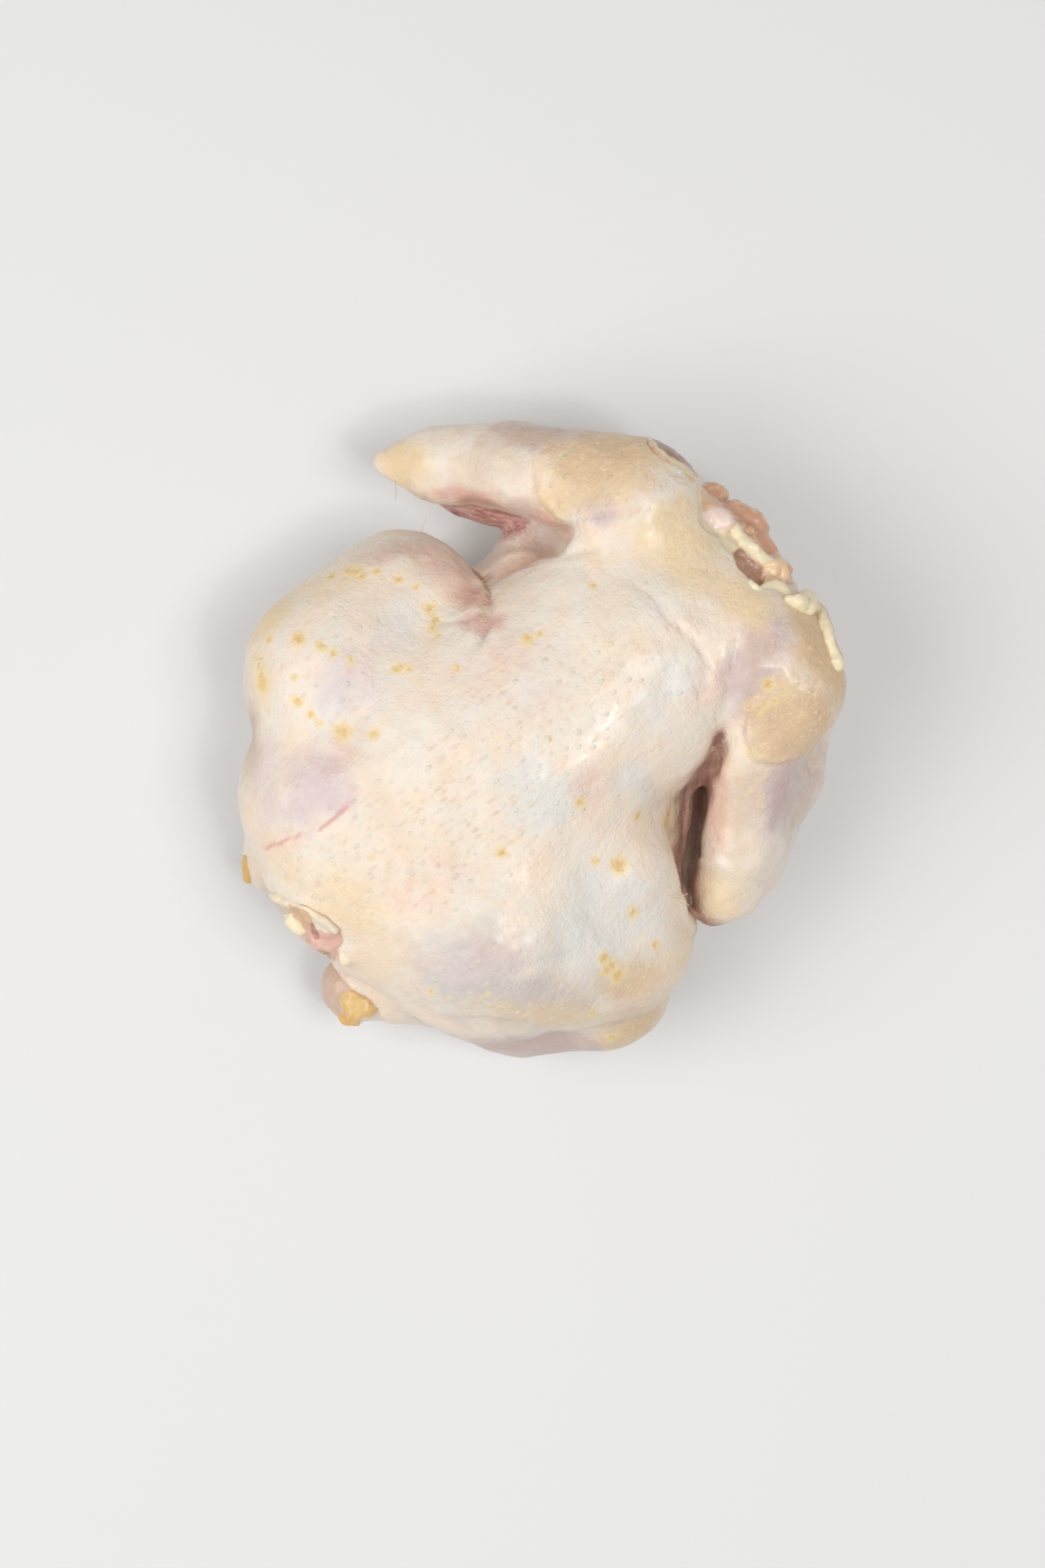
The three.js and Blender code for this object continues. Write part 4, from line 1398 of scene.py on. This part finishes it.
def cut_flesh(name, clay, forms, cuts, regions, rough, seed, material):
    """Presses forms into the clay, makes it one piece, and lifts and colours regions drawn on the picture.
    Outside the cut and the regions it draws back under the skin."""
    for form, blend in forms:
        clay.add(form, blend)
    clay.values[:, :, clay.lines[2] < FLOOR_GAP] = AIR
    for face in (0, -1):
        clay.values[face] = clay.values[:, face] = clay.values[:, :, face] = AIR
    shape, faces = largest_body(*skin_over(clay))
    shape = ease(shape, faces, FINE_EASE_PASSES)
    outward = vertex_normals(shape, faces)
    push = rough * (wander(shape, COARSE_GRAIN, seed) + 0.6 * wander(shape, FINE_GRAIN, seed + 1))
    ragged = 0.5 * wander(shape, BORDER_GRAIN, seed + 2)
    layers, bare = {}, in_cuts(cuts, shape)
    for outline, rise, layer, *own_lowest in regions.values():
        lowest = own_lowest[0] if own_lowest else cuts[0][1]
        depth = in_cut(outline, lowest + REGION_RISE, shape) + ragged
        bare = np.maximum(bare, depth)
        push += rise * ramp(depth, -0.7, 0.9) * ramp(outward[:, 2], *FACES_UP)
        layers[layer] = np.maximum(layers.get(layer, 0), ramp(depth, -0.5, 0.5))
    push -= DRAWN_BACK * ramp(-bare, 0.2, 2.2)
    piece = make_object(name, shape + outward * push[:, None], faces, material)
    carry(piece.data, layers)
    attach(piece, "root")
    print(name, len(faces) * 2, "triangles")


print("fine corners have a step of", FINE_STEP, "mm")

# %% [markdown]
# The neck's cut is read off the photograph piece by piece: the end of the neck muscle, a knob of
# gristle, the sheet of muscle that ran on to the left shoulder, and the strands of fat between them.
# Lumps give the large forms and regions drawn on the picture give each its height and colour.

# %% Neck end
neck = fine_corner((72, -34, 30), (114, 62, 92), (trunk, wings), 0.5)
# Each form is pressed in with a blend of so many millimetres.
neck_forms = [
    (lump(820, 566, 10, 8, 6, -20, 0, 3), 1.5), (lump(850, 587, 10, 6, 8, -40, -2, 3), 1.5),
    (lump(862, 596, 10, 8, 8, -25, -2.5, 3), 1.5), (lump(872, 607, 7, 5, 6, 20, -2.5, 3), 1.5),
    (lump(880, 625, 9, 5, 6, -50, -3, 3), 1.5), (lump(822, 596, 11, 8, 5, -30, 0, 2.4), 1.5),
    (lump(893, 655, 9, 8, 7, -40, -1, 4), 1.2), (lump(883, 651, 7, 6, 6, -10, -1, 3), 1.2),
    (strip([(838, 600, 1.2), (846, 610, 2.4), (854, 622, 1.7), (866, 629, 2.5), (876, 641, 1.8),
        (892, 647, 2.2)]), 1.5),
    (strip([(858, 664, 1.2), (868, 672, 1.8), (880, 670, 1.6), (892, 670, 2.0), (902, 676, 1.6),
        (908, 688, 1.4)], -1.0), 1.0),
    (lump(852, 604, 2.4, 2.2, 3, 0, 0.6), 0.5), (lump(861, 607, 2.6, 2, 3, 0, 0.4), 0.5),
    (lump(867, 613, 2, 2, 3, 0, 0.4), 0.5),
]
# Each region has its outline on the picture, how far it rises in millimetres and its layer, and some
# have a lowest height of their own.
NECK_REGIONS = {
    "fat that runs into the skin": ([(804, 600), (834, 607), (846, 620), (852, 630), (842, 636), (848, 652),
        (880, 680), (860, 690), (812, 640)], 0.2, "butter"),
    "skin's edge by the left shoulder": ([(740, 494), (752, 516), (770, 530), (790, 544), (800, 556),
        (800, 600), (810, 600), (808, 582), (806, 562), (804, 552), (786, 534), (768, 522)], 0, "butter"),
    "fold under the neck muscle": ([(858, 664), (872, 672), (884, 668), (900, 668), (910, 684), (906, 692),
        (892, 682), (874, 684), (862, 676)], 0.5, "fat"),
    "left shoulder's muscle": ([(740, 488), (756, 514), (775, 526), (790, 536), (802, 546), (808, 557),
        (822, 560), (834, 572), (850, 560), (800, 500)], -0.2, "mauve"),
    "lump by the left shoulder": ([(806, 560), (818, 557), (831, 566), (829, 582), (812, 583),
        (805, 575)], 0.6, "orange"),
    "gristle": ([(807, 587), (814, 583), (830, 583), (840, 590), (842, 602), (832, 608), (816, 607),
        (808, 598)], 0.6, "gristle"),
    "muscle beside it": ([(830, 566), (850, 580), (872, 590), (882, 604), (872, 612), (852, 600), (840, 590),
        (830, 583)], 0.2, "red"),
    "muscle behind the strand": ([(866, 611), (880, 610), (894, 626), (892, 638), (884, 638),
        (872, 628)], 0, "red"),
    "fat strand": ([(835, 590), (846, 599), (853, 611), (868, 625), (884, 639), (898, 643), (896, 650),
        (880, 651), (862, 640), (850, 628), (842, 614), (833, 607)], 0.5, "fat"),
    # The hollow's darker tone is partly painted shade in the recess of the neck's cut.
    "hollow": ([(843, 634), (851, 629), (860, 636), (875, 650), (879, 661), (873, 672), (861, 662),
        (847, 650)], -2.2, "hollow"),
    "end of the neck muscle": ([(876, 648), (888, 643), (902, 642), (908, 666), (896, 667),
        (878, 665)], 0.6, "peach"),
}
cut_flesh("neck_end", neck, neck_forms, NECK_CUTS, NECK_REGIONS, 0.5, 101, neck_flesh)

# %% [markdown]
# Where the neck's skin was torn off over the right shoulder, its edge dried into a crinkled crest.
# A strip of beads, thick and thin in turn, follows that edge.

# %% Ruffled skin by the right shoulder
RUFFLE_LOWEST, CREST_LOWEST = 70, 52
ruffle = fine_corner((80, -46, 40), (112, -12, 92), (trunk, wings), 1.6)
ruffle_forms = [
    (strip([(906, 690, 1.6), (914, 693, 2.4), (922, 686, 1.7), (930, 688, 2.6), (936, 697, 1.8),
        (941, 702, 2.5), (944, 714, 1.8), (948, 722, 2.5), (951, 736, 1.7), (956, 746, 2.3), (959, 762, 1.6),
        (965, 778, 1.2)], 0.9), 1.0),
    (lump(922, 696, 7, 5, 4, -20, -0.4, 3), 1.2), (lump(938, 705, 5, 9, 4, 20, -0.6, 3), 1.2),
]
RUFFLE = [(898, 686), (912, 684), (925, 678), (936, 684), (946, 698), (954, 716), (960, 740), (970, 764),
          (978, 786), (960, 776), (950, 752), (942, 730), (934, 714), (918, 704), (902, 698)]
RUFFLE_REGIONS = {"crest": (RUFFLE, 0.5, "fat", CREST_LOWEST)}
RUFFLE_CUTS = [(RUFFLE, RUFFLE_LOWEST)]
cut_flesh("ruffled_skin", ruffle, ruffle_forms, RUFFLE_CUTS, RUFFLE_REGIONS, 0.8, 131, neck_flesh)

# %% [markdown]
# At the other end the tail was cut off between the legs. A cream lip of skin hangs over the cut, rosy
# flesh shows under it with a square flap of fat, and the right drumstick ends in a knuckle with an
# amber cap. It is made in the same way, as a fine corner of the body under the skin.

# %% Tail end
tail = fine_corner((-118, -58, 6), (-68, 34, 84), (trunk, legs), 0.9)
tail_forms = [
    (lump(366, 1059, 12, 6, 4, -40, -1.4, 3), 2), (lump(372, 1080, 10, 8, 6, -50, -1.8, 3), 1.5),
    (lump(341, 1060, 7.5, 6, 2.4, -40, -2.6, 6), 0.8), (lump(411, 1155, 11, 9, 6, 10, -2.2, 3), 2),
    (lump(403, 1169, 8, 4.5, 6, 0, -3.8, 3), 1.5), (lump(284, 998, 3, 9, 7, 0, -4), 1.5),
    (lump(398, 1098, 7, 5.5, 5, 40, -1.0), 2.5),
    (strip([(312, 1027, 1.0), (319, 1031, 1.5), (330, 1036, 1.2), (350, 1042, 1.7), (372, 1055, 1.3),
        (386, 1068, 1.0)]), 1.5),
]
TAIL_REGIONS = {
    "rim of the lip": ([(300, 1017), (314, 1024), (332, 1034), (350, 1040), (374, 1054), (388, 1068),
        (384, 1072), (368, 1060), (350, 1048), (330, 1042), (312, 1034), (298, 1030)], 0.3, "cream", 30),
    "knob": ([(388, 1090), (398, 1086), (408, 1094), (412, 1104), (402, 1111), (390, 1106)], 0.1, "cream",
        KNUCKLE_LOWEST),
    "rim of the knuckle": ([(358, 1108), (366, 1098), (371, 1112), (367, 1132), (374, 1152), (386, 1166),
        (376, 1172), (360, 1150), (354, 1128)], 0, "cream", KNUCKLE_LOWEST),
    "side below the lip": ([(296, 1022), (316, 1028), (334, 1038), (338, 1052), (326, 1060),
        (290, 1050)], 0, "shade"),
    "heel of the knuckle": ([(408, 1162), (440, 1150), (444, 1184), (406, 1186)], 0, "pearl", KNUCKLE_LOWEST),
    "side of the knuckle": ([(360, 1108), (384, 1112), (402, 1136), (394, 1150), (392, 1168), (380, 1172),
        (358, 1140)], 0, "lilac", KNUCKLE_LOWEST),
    "top of the knuckle": ([(364, 1098), (380, 1098), (386, 1116), (378, 1124), (366, 1116)], 0, "tan",
        KNUCKLE_LOWEST),
    "web over the flap": ([(332, 1039), (348, 1043), (360, 1054), (364, 1064), (352, 1069), (346, 1060),
        (336, 1052)], -0.3, "tan"),
    "flap": ([(326, 1049), (338, 1048), (348, 1060), (355, 1070), (342, 1073), (328, 1066)], 0.3, "fat"),
    "lobe": ([(356, 1048), (370, 1054), (384, 1064), (387, 1070), (372, 1069), (364, 1066),
        (358, 1057)], 0.5, "pearl"),
    "flesh under the lobe": ([(350, 1069), (362, 1064), (372, 1068), (386, 1069), (394, 1080), (388, 1093),
        (374, 1096), (358, 1086)], 0.4, "rosy"),
    "vein": ([(355, 1062), (358, 1060), (367, 1072), (368, 1079), (362, 1077)], -0.3, "vein"),
    "notch": ([(364, 1090), (380, 1094), (380, 1103), (368, 1103)], -1.2, "ochre", KNUCKLE_LOWEST),
    "amber cap": ([(392, 1142), (402, 1136), (422, 1148), (434, 1158), (428, 1168), (398, 1166),
        (390, 1156)], 0.4, "amber", KNUCKLE_LOWEST),
    "rim of the cap": ([(388, 1163), (400, 1165), (414, 1166), (412, 1180), (394, 1182)], 0.6, "yolk",
        KNUCKLE_LOWEST),
    "cap of the left drumstick": ([(272, 978), (285, 982), (294, 1004), (294, 1020),
        (270, 1010)], 0.6, "yolk", KNUCKLE_LOWEST),
}
cut_flesh("tail_end", tail, tail_forms, TAIL_CUTS, TAIL_REGIONS, 0.35, 151, tail_flesh)

# %% [markdown]
# Two things repeat on a plucked bird: the little domes of skin where feathers stood, in rows along the
# body, and the few fine hairs that the plucker left. Both could be modelled one by one, but Geometry
# Nodes make them from guides: a cloud of points for the domes, and lines for the hairs. The sizes are
# named inputs of each tree, so they can be changed without touching the nodes.

# %% Trees of Geometry Nodes


class Tree:
    """A tree of Geometry Nodes with named inputs."""

    def __init__(self, name, sizes):
        self.group = bpy.data.node_groups.new(name, "GeometryNodeTree")
        self.group.interface.new_socket("Geometry", in_out="INPUT", socket_type="NodeSocketGeometry")
        self.group.interface.new_socket("Geometry", in_out="OUTPUT", socket_type="NodeSocketGeometry")
        for label in sizes:
            kind = "NodeSocketInt" if isinstance(sizes[label], int) else "NodeSocketFloat"
            self.group.interface.new_socket(label, in_out="INPUT", socket_type=kind)
        self.sizes = sizes
        self.inputs = self.group.nodes.new("NodeGroupInput").outputs

    def node(self, kind, sockets=None, **settings):
        node = self.group.nodes.new(kind)
        for name, value in settings.items():
            setattr(node, name, value)
        for name, value in (sockets or {}).items():
            if isinstance(value, bpy.types.NodeSocket):
                self.group.links.new(value, node.inputs[name])
            else:
                node.inputs[name].default_value = value
        return node.outputs[0]

    def end(self, geometry, material):
        whole = self.node("GeometryNodeRealizeInstances", {"Geometry": geometry})
        whole = self.node("GeometryNodeSetShadeSmooth", {"Geometry": whole})
        dressed = self.node("GeometryNodeSetMaterial", {"Geometry": whole, "Material": material})
        self.group.links.new(dressed, self.group.nodes.new("NodeGroupOutput").inputs[0])

    def grow(self, name, guide):
        """A plain mesh piece that the tree makes from a guide mesh."""
        piece = bpy.data.objects.new(name, guide)
        scene.collection.objects.link(piece)
        modifier = piece.modifiers.new("nodes", "NODES")
        modifier.node_group = self.group
        for item in self.group.interface.items_tree:
            if item.name in self.sizes:
                modifier[item.identifier] = self.sizes[item.name]
        evaluated = piece.evaluated_get(bpy.context.evaluated_depsgraph_get())
        mesh = bpy.data.meshes.new_from_object(evaluated)
        piece.modifiers.clear()
        piece.data = mesh
        print(name, sum(len(face.vertices) - 2 for face in mesh.polygons), "triangles")
        return piece


print("tree helpers ready")

# %% Rows of feathers
DOME_PITCH = 5.2
DOME_ROW = 4.6
DOME_SEED = 17
DOME_SINK = 0.19
DOME_JITTER = 0.8
QUILL_SHARES = (0.25, 0.75)
BACK_TURNS = (-80, 81)
BACK_LENGTH = (-100, 96)
OUTSIDE = 150


def feather_rows():
    """Points and outward directions in rows over the back, only where feathers stood."""
    draw = np.random.default_rng(DOME_SEED)
    final = BVHTree.FromPolygons(points.tolist(), quads.tolist())
    spots, outwards, carriers = [], [], []
    for row, turn in enumerate(np.arange(*BACK_TURNS, math.degrees(DOME_ROW / BACK_RADIUS))):
        for along in np.arange(*BACK_LENGTH, DOME_PITCH):
            x = along + (row % 2) * DOME_PITCH / 2 + draw.normal(0, DOME_JITTER)
            angle = math.radians(turn + draw.normal(0, DOME_JITTER))
            ray = Vector((0, math.sin(angle), math.cos(angle)))
            start = Vector((x, SPINE_MIDDLE[1], ROW_AXIS_HEIGHT)) + ray * OUTSIDE
            hit, outward, face, _ = final.ray_cast(start, -ray)
            if hit is None or draw.uniform(*QUILL_SHARES) > finishes["quilled"][quads[face, 0]]:
                continue
            spots.append(np.array(hit) - np.array(outward) * DOME_SINK)
            outwards.append(np.array(outward))
            carriers.append(quads[face, 0])
    return np.array(spots), np.array(outwards), np.array(carriers)


spots_at, spots_out, carriers = feather_rows()
print(len(spots_at), "places where feathers stood")

# %% Domes where feathers stood
DOME_SIZES = {"Half length": 1.3 * MM, "Half width": 0.8 * MM, "Half height": 0.34 * MM, "Seed": 7}
DOME_SCALES = (0.65, 1.15)
DOME_PINK = 0.12
dome_tree = Tree("feather_domes", DOME_SIZES)
dome = dome_tree.node("GeometryNodeMeshUVSphere", {"Segments": 8, "Rings": 5, "Radius": 1.0})
outward = dome_tree.node("GeometryNodeInputNamedAttribute", {"Name": "outward"}, data_type="FLOAT_VECTOR")
turned = dome_tree.node("FunctionNodeAlignRotationToVector", {"Vector": outward}, axis="Z")
size = dome_tree.node("ShaderNodeCombineXYZ", {
    "X": dome_tree.inputs["Half length"], "Y": dome_tree.inputs["Half width"],
    "Z": dome_tree.inputs["Half height"]})
domes = dome_tree.node("GeometryNodeInstanceOnPoints", {
    "Points": dome_tree.inputs["Geometry"], "Instance": dome, "Rotation": turned, "Scale": size})
vary = dome_tree.group.nodes.new("FunctionNodeRandomValue")
vary.inputs[2].default_value, vary.inputs[3].default_value = DOME_SCALES
dome_tree.group.links.new(dome_tree.inputs["Seed"], vary.inputs["Seed"])
scaled = dome_tree.node("GeometryNodeScaleInstances", {"Instances": domes, "Scale": vary.outputs[1]})
dome_tree.end(scaled, skin)

guide = bpy.data.meshes.new("feather_rows")
guide.from_pydata((spots_at * MM).tolist(), [], [])
carried = {name: amount[carriers] for name, amount in finishes.items()}
carried["pink"] = carried["pink"] + DOME_PINK
carry(guide, carried | {"rows": rows_place[carriers], "wrinkle_place": wrinkle_place[carriers],
                        "outward": spots_out})
feather_domes = dome_tree.grow("feather_domes", guide)
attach(feather_domes, "root")
print("domes", round(2 * DOME_SIZES["Half length"] / MM, 1), "mm long")

# %% [markdown]
# Loose threads of membrane hang under the left wing, and a few short hairs stand at the wing tips and
# thighs. Each is a line of points that leaves the skin and droops, and the tree gives it thickness.

# %% Lines of hair
HAIR_SEED = 23
HAIR_STOPS = 7
LONG_HAIRS = (((454, 552, 62), (455, 563, 56), (454, 575, 50)),
              ((493, 585, 55), (488, 598, 54), (484, 611, 54), (472, 618, 56)),
              ((484, 611, 54), (490, 614, 56), (497, 619, 58)))
SHORT_HAIRS = {(774, 1028): 6, (470, 640): 3, (552, 668): 3, (300, 760): 2, (690, 1190): 2, (420, 1150): 2,
               (930, 880): 2}
HAIR_SPREAD = 5
HAIR_LEAN = 0.5
HAIR_LENGTHS = (3, 6)
HAIR_DROOP = 0.35


def hair_lines():
    """Points of every hair in millimetres: the long ones by place, and short ones drawn at random."""
    draw = np.random.default_rng(HAIR_SEED)
    lines = []
    for stops in LONG_HAIRS:
        places = np.array([(*picture_to_bird(across, down, height), height) for across, down, height in stops])
        share = np.linspace(0, len(places) - 1, HAIR_STOPS)
        lines.append(np.stack([np.interp(share, range(len(places)), places[:, axis]) for axis in range(3)], 1))
    for (across, down), count in SHORT_HAIRS.items():
        for _ in range(count):
            root = on_skin(across + draw.normal(0, HAIR_SPREAD), down + draw.normal(0, HAIR_SPREAD))
            outward = np.array(tree.find_nearest(Vector(root))[1])
            lean = outward + draw.normal(0, HAIR_LEAN, 3)
            share = np.linspace(0, 1, HAIR_STOPS)[:, None]
            length = draw.uniform(*HAIR_LENGTHS)
            droop = HAIR_DROOP * share ** 2 * np.array((0, 0, 1))
            lines.append(root + length * (share * lean / np.linalg.norm(lean) - droop))
    return lines


lines = hair_lines()
guide = bpy.data.meshes.new("hair_lines")
pairs = [(HAIR_STOPS * line + stop, HAIR_STOPS * line + stop + 1)
         for line in range(len(lines)) for stop in range(HAIR_STOPS - 1)]
guide.from_pydata((np.concatenate(lines) * MM).tolist(), pairs, [])
print(len(lines), "hairs")

# %% Fine hairs
HAIR_SIZES = {"Half width": 0.11 * MM, "Sides": 5}
hair_finish = Finish("hair")
tone = hair_finish.ramp(hair_finish.noise(3.0), 0.35, 0.65)
hair_finish.wear(Base_Color=hair_finish.blend(tone, paint(232, 214, 184), paint(206, 182, 148)), Roughness=0.45)

hair_tree = Tree("fine_hairs", HAIR_SIZES)
curve = hair_tree.node("GeometryNodeMeshToCurve", {"Mesh": hair_tree.inputs["Geometry"]})
ring = hair_tree.node("GeometryNodeCurvePrimitiveCircle", {
    "Resolution": hair_tree.inputs["Sides"], "Radius": hair_tree.inputs["Half width"]})
hair = hair_tree.node("GeometryNodeCurveToMesh", {"Curve": curve, "Profile Curve": ring, "Fill Caps": True})
hair_tree.end(hair, hair_finish.material)
fine_hairs = hair_tree.grow("fine_hairs", guide)
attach(fine_hairs, "root")
